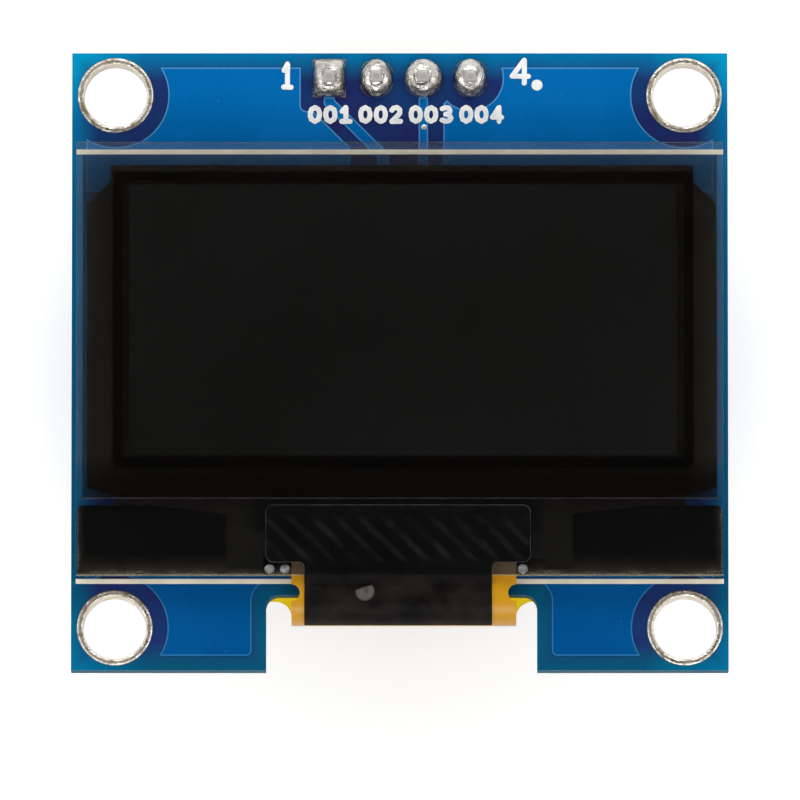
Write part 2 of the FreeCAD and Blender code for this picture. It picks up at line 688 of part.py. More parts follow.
def printed_labels():
    """A plain three-digit number below each header pin."""
    y = f"({HEADER_Y} - label_drop)"
    pieces = []
    for index, text in enumerate(PRINTED_LABELS):
        middle_x = f"({pin_x(index)} + label_shift + ({index} - {PIN_COUNT - 1} / 2) * label_spread)"
        for spot, character in enumerate(text):
            x = f"({middle_x} + ({spot} - 1) * digit_step)"
            name = f"Label{index + 1}Digit{spot + 1}"
            pieces.append(digit(name, character, x, y, "digit_width", "digit_height"))
    keep(group("PrintedLabels", pieces), "printed_labels")


def printed_numerals():
    """The plain pin numbers beside the header's ends, and a dot."""
    y = f"({HEADER_Y} + numeral_rise)"
    pieces = [digit("NumeralOne", "1", f"({FIRST_PIN} - numeral_gap)", y,
                    "numeral_width", "numeral_height"),
              digit("NumeralFour", "4", f"({LAST_PIN} + numeral_gap)", y,
                    "numeral_width", "numeral_height"),
              post("Dot", "dot_radius", f"{LAST_PIN} + dot_gap",
                   f"{HEADER_Y} - dot_drop", INK)]
    keep(group("PrintedNumerals", pieces), "printed_numerals")


def film_outline():
    """The black film's outline, seen from the front."""
    side = f"({PANEL_HALF} - film_side)"
    top = f"({PANEL_TOP} - film_top)"
    foot = f"({CAP_FOOT} + film_foot)"
    right_half = [(f"{side} - film_cut", foot), (side, f"{foot} + film_cut_rise"),
                  (side, f"{top} - film_step - film_slope"),
                  (f"{side} - film_step_in", f"{top} - film_step"),
                  (f"{side} - film_step_in", top)]
    left_half = [(f"-({x})", y) for x, y in reversed(right_half)]
    return [(f"film_shift + {x}", y) for x, y in right_half + left_half]


def panel_backing():
    """The foam under the panel and the black film on its rear glass."""
    side = f"({PANEL_HALF} - film_side - film_step_in - foam_inset)"
    along = (f"{CAP_FOOT} + film_foot + film_cut_rise + foam_inset",
             f"{PANEL_TOP} - film_top - film_step - foam_inset")
    across = middle("film_shift", f"2 * {side}")
    keep(block("PanelFoam", across, along, (SKIN, FILM_BACK)), "panel_foam")
    keep(plate("BlackFilm", film_outline(), (FILM_BACK, CAP_BACK)), "black_film")


def inside_cavity(inset_x, inset_y):
    """The bounds in X and Y of a rectangle inside the recess's outline."""
    return (middle("cavity_shift", f"2 * ({CAVITY_HALF} - {inset_x})"),
            (f"{CAVITY_FOOT} + {inset_y}", f"{CAVITY_TOP} - {inset_y}"))


def cavity(name, inset, up):
    """A rounded plate, inset from the recess's outline, between two levels."""
    corners = rectangle(*inside_cavity(inset, inset))
    return plate(name, corners, up, [((0, 1, 2, 3), "cavity_round")])


def panel_glass():
    """The two glasses, their seal and what lies between them."""
    across = (f"-{PANEL_HALF}", PANEL_HALF)
    cap = block("CapBlank", across, (CAP_FOOT, PANEL_TOP), (CAP_BACK, CAP_FRONT))
    recess = cavity("CapRecess", "0", (f"{CAP_FRONT} - cavity_depth",
                                       f"{CAP_FRONT} + cavity_depth"))
    keep(cut("CapGlass", cap, recess), "cap_glass")
    seal = cavity("SealBlank", "(-seal_width)", (CAP_FRONT, GLASS_BACK))
    window = cavity("SealWindow", "0", (f"{CAP_FRONT} - seal_thick",
                                        f"{GLASS_BACK} + seal_thick"))
    keep(cut("EdgeSeal", seal, window), "edge_seal")
    floor = f"({CAP_FRONT} - cavity_depth)"
    keep(cavity("DryingSheet", "sheet_inset", (floor, f"{floor} + sheet_thick")),
         "drying_sheet")
    lit = inside_cavity("active_inset_x", "active_inset_y")
    keep(block("LightLayers", *lit, (f"{GLASS_BACK} - active_thick", GLASS_BACK)),
         "light_layers")
    keep(block("FrontGlass", across, (PANEL_FOOT, PANEL_TOP), (GLASS_BACK, GLASS_FRONT)),
         "front_glass")
    keep(block("Polarizer", middle("0", f"2 * ({PANEL_HALF} - polarizer_side)"),
               (f"{CAP_FOOT} + polarizer_foot", f"{PANEL_TOP} - polarizer_top"),
               (GLASS_FRONT, f"{GLASS_FRONT} + polarizer_thick")), "polarizer")


def coat_outline(gap, gap_top, brow_foot):
    """The coat's outline: wide beside the rear glass, then slanting in."""
    top = f"({CAP_FOOT} - coat_drop)"
    foot = f"({top} - coat_height)"
    brow, slant, side = "coat_brow_width / 2", "coat_slant_width / 2", "coat_width / 2"
    elbow = f"({brow_foot} - coat_slant)"
    return [(gap[0], gap_top), (gap[1], gap_top), (gap[1], foot), (side, foot),
            (side, elbow), (slant, brow_foot), (brow, brow_foot), (brow, top),
            (f"-{brow}", top), (f"-{brow}", brow_foot), (f"-{slant}", brow_foot),
            (f"-{side}", elbow), (f"-{side}", foot), (gap[0], foot)]


def ledge():
    """What sits behind the ledge: the driver chip, its coat and the backing."""
    chip_y = f"({CAP_FOOT} - chip_drop)"
    chip = block("DriverChip", middle("0", "chip_width"), middle(chip_y, "chip_height"),
                 (f"{GLASS_BACK} - chip_thick", GLASS_BACK))
    keep(chip, "driver_chip")
    room = block("ChipRoom", middle("0", "chip_width + 2 * chip_room"),
                 middle(chip_y, "chip_height + 2 * chip_room"),
                 (f"{GLASS_BACK} - chip_thick - chip_room", f"{GLASS_BACK} + chip_room"))
    under = f"({GLASS_BACK} - coat_thick)"
    gap_half = f"(flex_width / 2 + {BEAD_ROOM})"
    gap = middle("flex_shift", f"2 * {gap_half}")
    gap_top = f"({PANEL_FOOT} + backing_gap_height)"
    high = f"({CAP_FOOT} - backing_top)"
    coat = plate("CoatBlank", coat_outline(gap, gap_top, high), (under, GLASS_BACK))
    well = block("CoatWell", middle("0", "chip_width"), middle(chip_y, "chip_height"),
                 (f"{under} - coat_thick", f"{GLASS_BACK} + coat_thick"))
    keep(cut("LedgeCoat", coat, well), "ledge_coat")
    side = f"({PANEL_HALF} - backing_side)"
    low = f"({PANEL_FOOT} + backing_foot)"
    corners = rectangle((f"-{side}", side), (low, high))
    backing = plate("LedgeBacking", corners, (SKIN, under), [((2, 3), "cavity_round")])
    bead_room = block("BeadRoom", gap, (f"{low} - bead_radius", gap_top),
                      (f"{GLASS_BACK} - bead_thick - bead_clear", GLASS_FRONT))
    keep(cut("LedgeBacking", backing, room, bead_room), "ledge_backing")


def ribbon():
    """The ribbon: bonded to the ledge, folded round the notch, flared behind."""
    neck = middle("flex_shift", "flex_width")
    tail = middle("flex_shift", TAIL_WIDTH)
    far = f"(2 * {TAIL_WIDTH})"
    front = block("RibbonFront", neck, (FOLD_Y, f"{PANEL_FOOT} + flex_bond"),
                  (f"{GLASS_BACK} - flex_thick", GLASS_BACK))
    back = block("RibbonBack", tail, (FOLD_Y, f"{FOLD_Y} + tail_length"),
                 ("-flex_thick", "0"))
    outer = roller("FoldOuter", FOLD_RADIUS, tail, FOLD_Y, FOLD_Z)
    inner = roller("FoldInner", f"{FOLD_RADIUS} - flex_thick",
                   (f"{tail[0]} - flex_thick", f"{tail[1]} + flex_thick"), FOLD_Y, FOLD_Z)
    behind = block("FoldBehind", (f"-{far}", far), (FOLD_Y, f"{FOLD_Y} + {far}"),
                   (f"-{far}", far))
    fold = cut("Fold", outer, inner, behind)
    trims = []
    for side, edge in ((-1, neck[0]), (1, neck[1])):
        beyond = f"({edge} + {side} * {far})"
        across = (beyond, edge) if side < 0 else (edge, beyond)
        trims.append(block(f"FoldTrim{side + 1}", across, (f"-{far}", FOLD_Y),
                           (FOLD_Z, far)))
        corner = (2,) if side < 0 else (3,)
        trims.append(plate(f"TailTrim{side + 1}", rectangle(across, (f"-{far}", FOLD_Y)),
                           (f"-{far}", FOLD_Z), [(corner, "flare_radius")]))
        trims.append(post(f"Relief{side + 1}", "relief_radius", edge, NOTCH_TOP,
                          (FOLD_Z, f"{GLASS_BACK} + flex_thick")))
    whole = fuse("RibbonWhole", [front, back, fold])
    keep(cut("Ribbon", whole, *trims), "ribbon")


def ribbon_joints():
    """The row of solder joints that hold the ribbon's tail to the board."""
    top = f"({FOLD_Y} + tail_length - joint_inset)"
    pieces = []
    for index in range(JOINT_COUNT):
        x = f"(flex_shift + ({index} - {JOINT_COUNT - 1} / 2) * joint_pitch)"
        pieces.append(block(f"RibbonJoint{index + 1}", middle(x, "joint_width"),
                            (f"{top} - joint_length", top),
                            ("-flex_thick - joint_thick", "-flex_thick")))
    keep(group("RibbonJoints", pieces), "ribbon_solder")


def shading_tape():
    """The black tape over the ledge and the ribbon, down to the fold."""
    wide = middle(TAPE_SHIFT, "flex_width + 2 * tape_overlap")
    neck = middle(TAPE_SHIFT, "flex_width - 2 * tape_inset")
    top = f"({CAP_FOOT} - tape_drop)"
    waist = f"({top} - tape_height)"
    above = f"({GLASS_FRONT} + tape_thick)"
    landing = f"({PANEL_FOOT} - tape_slope)"
    corners = [(neck[0], PANEL_FOOT), (neck[1], PANEL_FOOT), (neck[1], waist),
               (wide[1], waist), (wide[1], top), (wide[0], top), (wide[0], waist),
               (neck[0], waist)]
    flat = plate("TapeFlat", corners, (GLASS_FRONT, above),
                 [((3, 4, 5, 6), "tape_round"), ((2, 7), "tape_crotch")])
    section = [(waist, GLASS_FRONT), (PANEL_FOOT, GLASS_FRONT), (landing, GLASS_BACK),
               (FOLD_Y, GLASS_BACK), (FOLD_Y, f"{GLASS_BACK} + tape_thick"),
               (landing, f"{GLASS_BACK} + tape_thick"), (PANEL_FOOT, above),
               (waist, above)]
    fall = strip("TapeFall", section, neck)
    outer = roller("TapeOuter", f"{FOLD_RADIUS} + tape_thick", neck, FOLD_Y, FOLD_Z)
    inner = roller("TapeInner", FOLD_RADIUS,
                   (f"{neck[0]} - tape_thick", f"{neck[1]} + tape_thick"), FOLD_Y, FOLD_Z)
    far = f"(2 * {TAIL_WIDTH})"
    behind = block("TapeBehind", (f"-{far}", far), (FOLD_Y, far), (f"-{far}", far))
    below = block("TapeBelow", (f"-{far}", far), (f"-{far}", far), (f"-{far}", FOLD_Z))
    curl = cut("TapeCurl", outer, inner, behind, below)
    keep(fuse("ShadingTape", [flat, fall, curl]), "shading_tape")


def glue_beads():
    """The beads of clear glue beside the ribbon, under the ledge."""
    y = f"{PANEL_FOOT} + bead_rise"
    up = (f"{GLASS_BACK} - bead_thick", GLASS_BACK)
    left = "(flex_shift - flex_width / 2 - bead_gap - bead_radius)"
    right = "(flex_shift + flex_width / 2 + bead_gap + bead_radius)"
    farther = f"({left} - {BEAD_STEP})"
    beads = [post(f"Bead{count}", "bead_radius", x, y, up)
             for count, x in enumerate((farther, left, right), start=1)]
    keep(group("GlueBeads", beads), "glue_beads")


def chip_part(name, label, x, y, thick):
    """A capacitor or resistor: a ceramic block with two metal ends."""
    along = middle(y, "part_width")
    left, right = middle(x, "part_length")
    core = block(f"{name}Core", (f"{left} + part_end", f"{right} - part_end"), along,
                 (f"-{thick}", "0"))
    lipped = (f"{along[0]} - part_lip", f"{along[1]} + part_lip")
    up = (f"-{thick} - part_lip", "0")
    ends = [block(f"{name}Left", (left, f"{left} + part_end"), lipped, up),
            block(f"{name}Right", (f"{right} - part_end", right), lipped, up)]
    keep(fuse(name, [core, *ends]), label)


def rear_parts():
    """The small parts that the display needs, on the board's rear face."""
    for index in range(CHIP_PARTS_IN_A_ROW):
        x = f"(part_row_left + {index} * part_step)"
        chip_part(f"Capacitor{index + 1}", f"capacitor_{index + 1}", x,
                  "capacitor_row", "capacitor_thick")
        chip_part(f"Resistor{index + 1}", f"resistor_{index + 1}", x,
                  "resistor_row", "resistor_thick")


def regulator():
    """The voltage regulator and its three leads."""
    top = "(-regulator_stand)"
    low = "(-regulator_stand - regulator_thick)"
    waist = f"({top} - regulator_thick / 2)"
    keep(block("RegulatorBody", middle("regulator_x", "regulator_length"),
               middle("regulator_y", "regulator_width"), (low, top)), "regulator_body")
    leads = []
    for count, (offset, side) in enumerate(((-1, -1), (1, -1), (0, 1)), start=1):
        edge = f"(regulator_y + {side} * regulator_width / 2)"
        knee = f"({edge} + {side} * lead_reach / 2)"
        toe = f"({edge} + {side} * lead_reach)"
        inner_knee = f"({knee} - {side} * lead_thick)"
        section = [(edge, waist), (edge, f"{waist} - lead_thick"),
                   (knee, f"{waist} - lead_thick"), (knee, "-lead_thick"),
                   (toe, "-lead_thick"), (toe, "0"), (inner_knee, "0"),
                   (inner_knee, waist)]
        across = middle(f"regulator_x + {offset} * lead_step", "lead_width")
        leads.append(strip(f"Lead{count}", section, across))
    keep(group("RegulatorLeads", leads), "regulator_leads")


def check_all():
    """Stops unless every object of the document, and every node, is sound."""
    for item in DOC.Objects:
        if {"Invalid", "Error"} & set(item.State):
            raise RuntimeError(f"{item.Label} failed: {item.State}")
    for node in NODES:
        if node.Shape.isNull() or not node.Shape.isValid() or not node.Shape.Solids:
            raise RuntimeError(f"{node.Label} has no sound shape")


def write_nodes():
    """Writes each named piece to its own file."""
    os.makedirs("parts", exist_ok=True)
    for node in NODES:
        node.Shape.exportStep(f"parts/{node.Label}.step")
        size = node.Shape.BoundBox
        print(f"{node.Label}: {len(node.Shape.Solids)} solid(s), "
              f"{size.XLength:.2f} x {size.YLength:.2f} x {size.ZLength:.2f} mm")


board()
hole_platings()
header()
copper_fields()
signal_traces()
panel_lines()
printed_labels()
printed_numerals()
panel_backing()
panel_glass()
ledge()
ribbon()
ribbon_joints()
shading_tape()
glue_beads()
rear_parts()
regulator()
DOC.recompute()
check_all()
write_nodes()
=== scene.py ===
import logging
import math
import random
from dataclasses import dataclass, field
from enum import Enum

import bmesh
import bpy
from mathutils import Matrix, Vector


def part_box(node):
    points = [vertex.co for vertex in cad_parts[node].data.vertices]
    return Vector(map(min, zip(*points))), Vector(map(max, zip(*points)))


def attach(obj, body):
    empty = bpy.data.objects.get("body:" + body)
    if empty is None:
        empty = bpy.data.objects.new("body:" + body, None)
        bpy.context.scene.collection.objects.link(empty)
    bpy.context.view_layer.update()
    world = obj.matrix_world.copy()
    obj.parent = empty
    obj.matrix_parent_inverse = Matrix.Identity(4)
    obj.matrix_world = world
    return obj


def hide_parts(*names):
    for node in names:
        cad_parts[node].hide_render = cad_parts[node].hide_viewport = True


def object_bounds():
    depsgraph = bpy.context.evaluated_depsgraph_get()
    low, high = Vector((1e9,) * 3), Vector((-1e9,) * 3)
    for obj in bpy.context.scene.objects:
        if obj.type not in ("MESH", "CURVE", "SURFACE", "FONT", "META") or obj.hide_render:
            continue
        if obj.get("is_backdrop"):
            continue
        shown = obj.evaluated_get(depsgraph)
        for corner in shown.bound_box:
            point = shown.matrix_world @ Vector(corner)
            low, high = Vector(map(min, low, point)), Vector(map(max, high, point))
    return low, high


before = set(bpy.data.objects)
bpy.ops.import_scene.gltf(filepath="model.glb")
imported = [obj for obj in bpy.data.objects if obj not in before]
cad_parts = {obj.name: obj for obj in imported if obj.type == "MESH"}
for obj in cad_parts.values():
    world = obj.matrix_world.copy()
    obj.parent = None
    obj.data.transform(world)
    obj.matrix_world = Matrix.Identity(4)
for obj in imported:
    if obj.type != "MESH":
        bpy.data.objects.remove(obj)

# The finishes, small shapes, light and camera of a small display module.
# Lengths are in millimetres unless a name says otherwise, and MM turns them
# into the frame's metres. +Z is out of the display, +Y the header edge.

MM = 0.001
BODY = "root"
LOG = logging.getLogger("module")
Colour = tuple[float, float, float]


class Slot(Enum):
    """The record's material slots."""

    MASK = "solder_mask"
    FIELD = "masked_copper"
    INK = "white_ink"
    MOULDING = "header_plastic"
    FOAM = "black_foam"
    FILM = "black_film"
    GLASS = "clear_glass"
    SEAL = "sealant"
    SHEET = "drying_sheet"
    LAYERS = "display_layers"
    POLARIZER = "polarizer_film"
    CHIP = "silicon"
    RESIN = "ledge_resin"
    RIBBON = "amber_film"
    TAPE = "black_tape"
    GLUE = "clear_glue"
    TIN = "tinned_copper"
    SOLDER = "bright_solder"
    PIN = "pin_metal"
    EPOXY = "moulded_epoxy"
    LEAD = "tinned_lead"
    CAPACITOR = "capacitor_ceramic"
    RESISTOR = "resistor_ceramic"


def seen(red: float, green: float, blue: float) -> Colour:
    """Turns a colour as seen on a screen into the renderer's own scale.

    Args:
        red: Red from 0 to 255.
        green: Green from 0 to 255.
        blue: Blue from 0 to 255.

    Returns:
        The same colour on a linear scale from 0 to 1.
    """
    shares = (value / 255 for value in (red, green, blue))
    return tuple(s / 12.92 if s <= 0.04045 else ((s + 0.055) / 1.055) ** 2.4 for s in shares)


class Nodes:
    """A node tree, with a short call for each kind of node used here."""

    def __init__(self, tree: bpy.types.NodeTree) -> None:
        """Takes up a node tree.

        Args:
            tree: The tree that the nodes join.
        """
        self.nodes = tree.nodes
        self.links = tree.links

    def node(self, kind: str, inputs: dict, **settings) -> bpy.types.Node:
        """Adds a node, and sets or links its inputs.

        Args:
            kind: The node's type.
            inputs: Input names or numbers with a value or another node's output.
            settings: The node's own properties.

        Returns:
            The new node.
        """
        made = self.nodes.new(kind)
        for name, value in settings.items():
            setattr(made, name, value)
        for name, value in inputs.items():
            self.put(made.inputs[name], value)
        return made

    def put(self, socket: bpy.types.NodeSocket, value: object) -> None:
        """Links an output to a socket, or sets the socket's own value.

        Args:
            socket: The input.
            value: An output, a number or a colour.
        """
        if isinstance(value, bpy.types.NodeSocket):
            self.links.new(value, socket)
        elif isinstance(value, tuple) and socket.type == "RGBA":
            socket.default_value = (*value, 1.0)
        else:
            socket.default_value = value

    def math(self, operation: str, first: object, second: object = 0.0,
             clamp: bool = False) -> bpy.types.NodeSocket:
        """One step of arithmetic.

        Args:
            operation: The step, such as ADD.
            first: The first value or output.
            second: The second value or output.
            clamp: Whether the result is kept from 0 to 1.

        Returns:
            The result.
        """
        step = self.node("ShaderNodeMath", {0: first, 1: second}, operation=operation)
        step.use_clamp = clamp
        return step.outputs[0]

    def span(self, value: object, low: float, high: float, to_low: float = 0.0,
             to_high: float = 1.0) -> bpy.types.NodeSocket:
        """Stretches a range of a value onto another range, and stops at its ends.

        Args:
            value: The value or output.
            low: Where the range starts.
            high: Where the range ends.
            to_low: What the start becomes.
            to_high: What the end becomes.

        Returns:
            The stretched value.
        """
        inputs = {"Value": value, "From Min": low, "From Max": high,
                  "To Min": to_low, "To Max": to_high}
        return self.node("ShaderNodeMapRange", inputs).outputs[0]

    def blend(self, share: object, first: object, second: object) -> bpy.types.NodeSocket:
        """Mixes two colours.

        Args:
            share: How much of the second shows, from 0 to 1.
            first: The first colour or output.
            second: The second colour or output.

        Returns:
            The mixed colour.
        """
        mixed = self.node("ShaderNodeMix", {0: share}, data_type="RGBA")
        self.put(mixed.inputs[6], first)
        self.put(mixed.inputs[7], second)
        return mixed.outputs[2]

    def apart(self, value: object, middle: object) -> bpy.types.NodeSocket:
        """How far a value is from a middle, either way.

        Args:
            value: The value or output.
            middle: The middle or output.

        Returns:
            The distance.
        """
        return self.math("ABSOLUTE", self.math("SUBTRACT", value, middle))

    def reach(self, first: object, second: object) -> bpy.types.NodeSocket:
        """The straight distance of two steps at right angles.

        Args:
            first: The first step.
            second: The second step.

        Returns:
            The distance.
        """
        squares = [self.math("MULTIPLY", step, step) for step in (first, second)]
        return self.math("SQRT", self.math("ADD", *squares))

    def looked_at(self) -> bpy.types.NodeSocket:
        """Whether the camera sees a surface, straight or by a mirror or a glass."""
        path = self.node("ShaderNodeLightPath", {}).outputs
        by_way = self.math("MAXIMUM", path["Is Glossy Ray"], path["Is Transmission Ray"])
        return self.math("MAXIMUM", path["Is Camera Ray"], by_way)


class Tree(Nodes):
    """A material's nodes about its one surface shader."""

    def __init__(self, name: str) -> None:
        """Starts a material with a lone surface shader.

        Args:
            name: The material's name.
        """
        self.material = bpy.data.materials.new(name)
        self.material.use_nodes = True
        super().__init__(self.material.node_tree)
        self.surface = self.nodes["Principled BSDF"]
        self.where = self.nodes.new("ShaderNodeTexCoord").outputs["Object"]

    def noise(self, grain: float, detail: float = 3.0, twist: float = 0.0) -> bpy.types.NodeSocket:
        """A soft random pattern.

        Args:
            grain: The size of its patches, in millimetres.
            detail: How many finer layers it has.
            twist: How far it is distorted.

        Returns:
            The pattern's value from 0 to 1.
        """
        inputs = {"Vector": self.where, "Scale": 1 / (grain * MM), "Detail": detail,
                  "Distortion": twist}
        return self.node("ShaderNodeTexNoise", inputs).outputs["Fac"]

    def axes(self) -> tuple:
        """The object's own X, Y and Z as three outputs."""
        return tuple(self.node("ShaderNodeSeparateXYZ", {0: self.where}).outputs)

    def bump(self, height: object, depth: float, strength: float = 1.0) -> None:
        """Gives the surface a fine relief.

        Args:
            height: The pattern that it follows.
            depth: Its depth in millimetres.
            strength: How much of it shows.
        """
        inputs = {"Height": height, "Distance": depth * MM, "Strength": strength}
        relief = self.node("ShaderNodeBump", inputs)
        self.links.new(relief.outputs[0], self.surface.inputs["Normal"])

    def dress(self, **values) -> bpy.types.Material:
        """Sets the surface shader's own inputs.

        Args:
            values: Input names, with underscores for spaces, and their values.

        Returns:
            The finished material.
        """
        for name, value in values.items():
            self.put(self.surface.inputs[name.replace("_", " ")], value)
        return self.material


@dataclass(frozen=True)
class Plain:
    """A moulded, cast or coated surface with a little mottling."""

    name: str
    colour: Colour
    second: Colour
    roughness: float = 0.5
    grain: float = 0.4
    depth: float = 0.01
    shine: float = 0.5

    def make(self) -> bpy.types.Material:
        """Builds the material."""
        tree = Tree(self.name)
        patches = tree.noise(self.grain * 6, 4.0)
        fine = tree.noise(self.grain, 3.0)
        tree.bump(fine, self.depth)
        rough = tree.span(fine, 0.3, 0.7, self.roughness * 0.85, min(1.0, self.roughness * 1.15))
        colour = tree.blend(tree.span(patches, 0.35, 0.65), self.colour, self.second)
        return tree.dress(Base_Color=colour, Roughness=rough, Specular_IOR_Level=self.shine)


@dataclass(frozen=True)
class Metal:
    """Tin, solder or plated metal, with dull patches and fine pits."""

    name: str
    colour: Colour
    dull: Colour
    roughness: float = 0.25
    grain: float = 0.15
    depth: float = 0.01

    def make(self) -> bpy.types.Material:
        """Builds the material."""
        tree = Tree(self.name)
        patches = tree.noise(self.grain * 4, 5.0, 0.6)
        fine = tree.noise(self.grain, 4.0)
        tree.bump(tree.math("ADD", fine, patches), self.depth)
        colour = tree.blend(tree.span(patches, 0.42, 0.66), self.colour, self.dull)
        rough = tree.span(patches, 0.35, 0.7, self.roughness * 0.6, self.roughness * 1.7)
        return tree.dress(Base_Color=colour, Roughness=rough, Metallic=1.0)


@dataclass(frozen=True)
class PinMetal:
    """A plated pin: gold-coloured below the board, wetted with solder above it."""

    name: str
    gold: Colour
    solder: Colour
    change: float

    def make(self) -> bpy.types.Material:
        """Builds the material."""
        tree = Tree(self.name)
        fine = tree.noise(0.2, 4.0)
        tree.bump(fine, 0.004)
        height = tree.axes()[2]
        above = tree.span(height, self.change - 0.1 * MM, self.change)
        colour = tree.blend(above, self.gold, self.solder)
        rough = tree.math("ADD", tree.span(fine, 0.3, 0.7, 0.16, 0.34),
                          tree.math("MULTIPLY", above, 0.35))
        return tree.dress(Base_Color=colour, Roughness=rough, Metallic=1.0)


@dataclass(frozen=True)
class Mask:
    """Blue solder mask on bare laminate, lit through near every cut edge: painted light, brightest
    at the corners and lighter towards the top edge.
    """

    name: str
    half_width: float
    half_height: float
    notch_middle: float
    notch_half: float
    notch_top: float
    thick: float
    edge_waver: float = 0.25
    edge_bright: float = 0.2
    edge_reach: float = 1.5
    corner_waver: float = 1.0
    corner_bright: float = 0.4
    corner_reach: float = 4.2
    corner_share: float = 0.85
    skin: float = 0.03
    skin_fade: float = 0.02

    def make(self) -> bpy.types.Material:
        """Builds the material."""
        tree = Tree(self.name)
        x, y, z = tree.axes()
        beside = tree.math("SUBTRACT", self.half_width, tree.math("ABSOLUTE", x))
        above = tree.math("SUBTRACT", self.half_height, tree.math("ABSOLUTE", y))
        notch = tree.math("MAXIMUM", tree.math("SUBTRACT", tree.apart(x, self.notch_middle),
                                               self.notch_half),
                          tree.math("SUBTRACT", y, self.notch_top))
        edge = tree.math("MINIMUM", tree.math("MINIMUM", beside, above), notch)
        cloud = tree.noise(3.0, 3.0)
        waver = self.edge_waver * MM
        wavering = tree.math("ADD", edge, tree.span(cloud, 0.2, 0.8, -waver, waver))
        glow = tree.span(wavering, self.edge_bright * MM, self.edge_reach * MM, 1.0, 0.0)
        # Painted light: the edge glint is lighter towards the top edge, as if lit from that side.
        painted_top_light = tree.span(y, -self.half_height, self.half_height)
        glint = tree.blend(painted_top_light, seen(6, 80, 112), seen(4, 108, 160))
        deep = tree.blend(tree.span(cloud, 0.35, 0.65), seen(32, 40, 98), seen(22, 56, 108))
        waver = self.corner_waver * MM
        corner = tree.math("ADD", tree.reach(beside, above),
                           tree.span(cloud, 0.2, 0.8, -waver, waver))
        corner_glow = tree.span(corner, self.corner_bright * MM, self.corner_reach * MM,
                                self.corner_share, 0.0)
        corner_glint = tree.blend(painted_top_light, seen(0, 112, 156), seen(0, 150, 196))
        glint = tree.blend(corner_glow, glint, corner_glint)
        coat = tree.blend(glow, deep, glint)
        weave = tree.noise(0.12, 2.0)
        core = tree.blend(tree.span(weave, 0.4, 0.6), seen(16, 70, 96), seen(40, 96, 112))
        skin, core_from = self.skin * MM, (self.skin + self.skin_fade) * MM
        inside = tree.math("MULTIPLY", tree.span(z, skin, core_from),
                           tree.span(z, self.thick - core_from, self.thick - skin, 1.0, 0.0))
        tree.bump(tree.noise(0.5, 3.0), 0.008, 0.6)
        colour = tree.blend(inside, coat, core)
        rough = tree.span(inside, 0.0, 1.0, 0.25, 0.75)
        return tree.dress(Base_Color=colour, Roughness=rough, Specular_IOR_Level=0.15)


@dataclass(frozen=True)
class Field:
    """Blue solder mask over copper: brighter than over bare laminate, and painted lighter towards
    the top edge as if lit from that side.
    """

    name: str
    colour: Colour
    second: Colour
    reach: float
    waver: float = 0.12
    speck_share: float = 0.12

    def make(self) -> bpy.types.Material:
        """Builds the material."""
        tree = Tree(self.name)
        cloud = tree.noise(5.0, 2.0)
        specks = tree.span(tree.noise(0.16, 1.0), 0.72, 0.78)
        y = tree.axes()[1]
        # Painted light: the colour runs lighter towards the top edge.
        painted_top_light = tree.span(y, -self.reach, self.reach)
        waver = tree.span(cloud, 0.3, 0.7, -self.waver, self.waver)
        wavering = tree.math("ADD", painted_top_light, waver, True)
        colour = tree.blend(wavering, self.colour, self.second)
        colour = tree.blend(tree.math("MULTIPLY", specks, self.speck_share), colour,
                            seen(120, 170, 205))
        tree.bump(tree.noise(0.8, 3.0), 0.006, 0.5)
        rough = tree.span(cloud, 0.3, 0.7, 0.2, 0.3)
        return tree.dress(Base_Color=colour, Roughness=rough, Specular_IOR_Level=0.15)


@dataclass(frozen=True)
class Clear:
    """Clear glass or tinted film that light passes straight through."""

    name: str
    tint: Colour
    roughness: float
    bend: float

    def make(self) -> bpy.types.Material:
        """Builds the material."""
        tree = Tree(self.name)
        tree.bump(tree.noise(4.0, 2.0), 0.002, 0.2)
        return tree.dress(Base_Color=self.tint, Roughness=self.roughness, IOR=self.bend,
                          Transmission_Weight=1.0)


@dataclass(frozen=True)
class Thin:
    """A surface that hides only part of what lies behind it."""

    name: str
    colour: Colour
    second: Colour
    hiding: float
    roughness: float
    grain: float = 0.3

    def make(self) -> bpy.types.Material:
        """Builds the material."""
        tree = Tree(self.name)
        fine = tree.noise(self.grain, 4.0, 0.4)
        tree.bump(fine, 0.01)
        colour = tree.blend(tree.span(fine, 0.4, 0.6), self.colour, self.second)
        return tree.dress(Base_Color=colour, Roughness=self.roughness, Alpha=self.hiding)


@dataclass(frozen=True)
class Haze:
    """Clear glass with a faint haze that ends above its foot."""

    name: str
    colour: Colour
    hiding: float
    foot: float
    foot_fade: float = 1.2
    foot_share: float = 0.2

    def make(self) -> bpy.types.Material:
        """Builds the material."""
        tree = Tree(self.name)
        y = tree.axes()[1]
        cloud = tree.noise(2.5, 2.0)
        amount = tree.span(cloud, 0.3, 0.7, self.hiding * 0.85, self.hiding * 1.15)
        clear = tree.span(y, self.foot, self.foot + self.foot_fade * MM, self.foot_share, 1.0)
        colour = tree.blend(cloud, self.colour, seen(150, 146, 140))
        tree.bump(cloud, 0.001)
        return tree.dress(Base_Color=colour, Roughness=0.1, Specular_IOR_Level=0.1,
                          Alpha=tree.math("MULTIPLY", amount, clear))


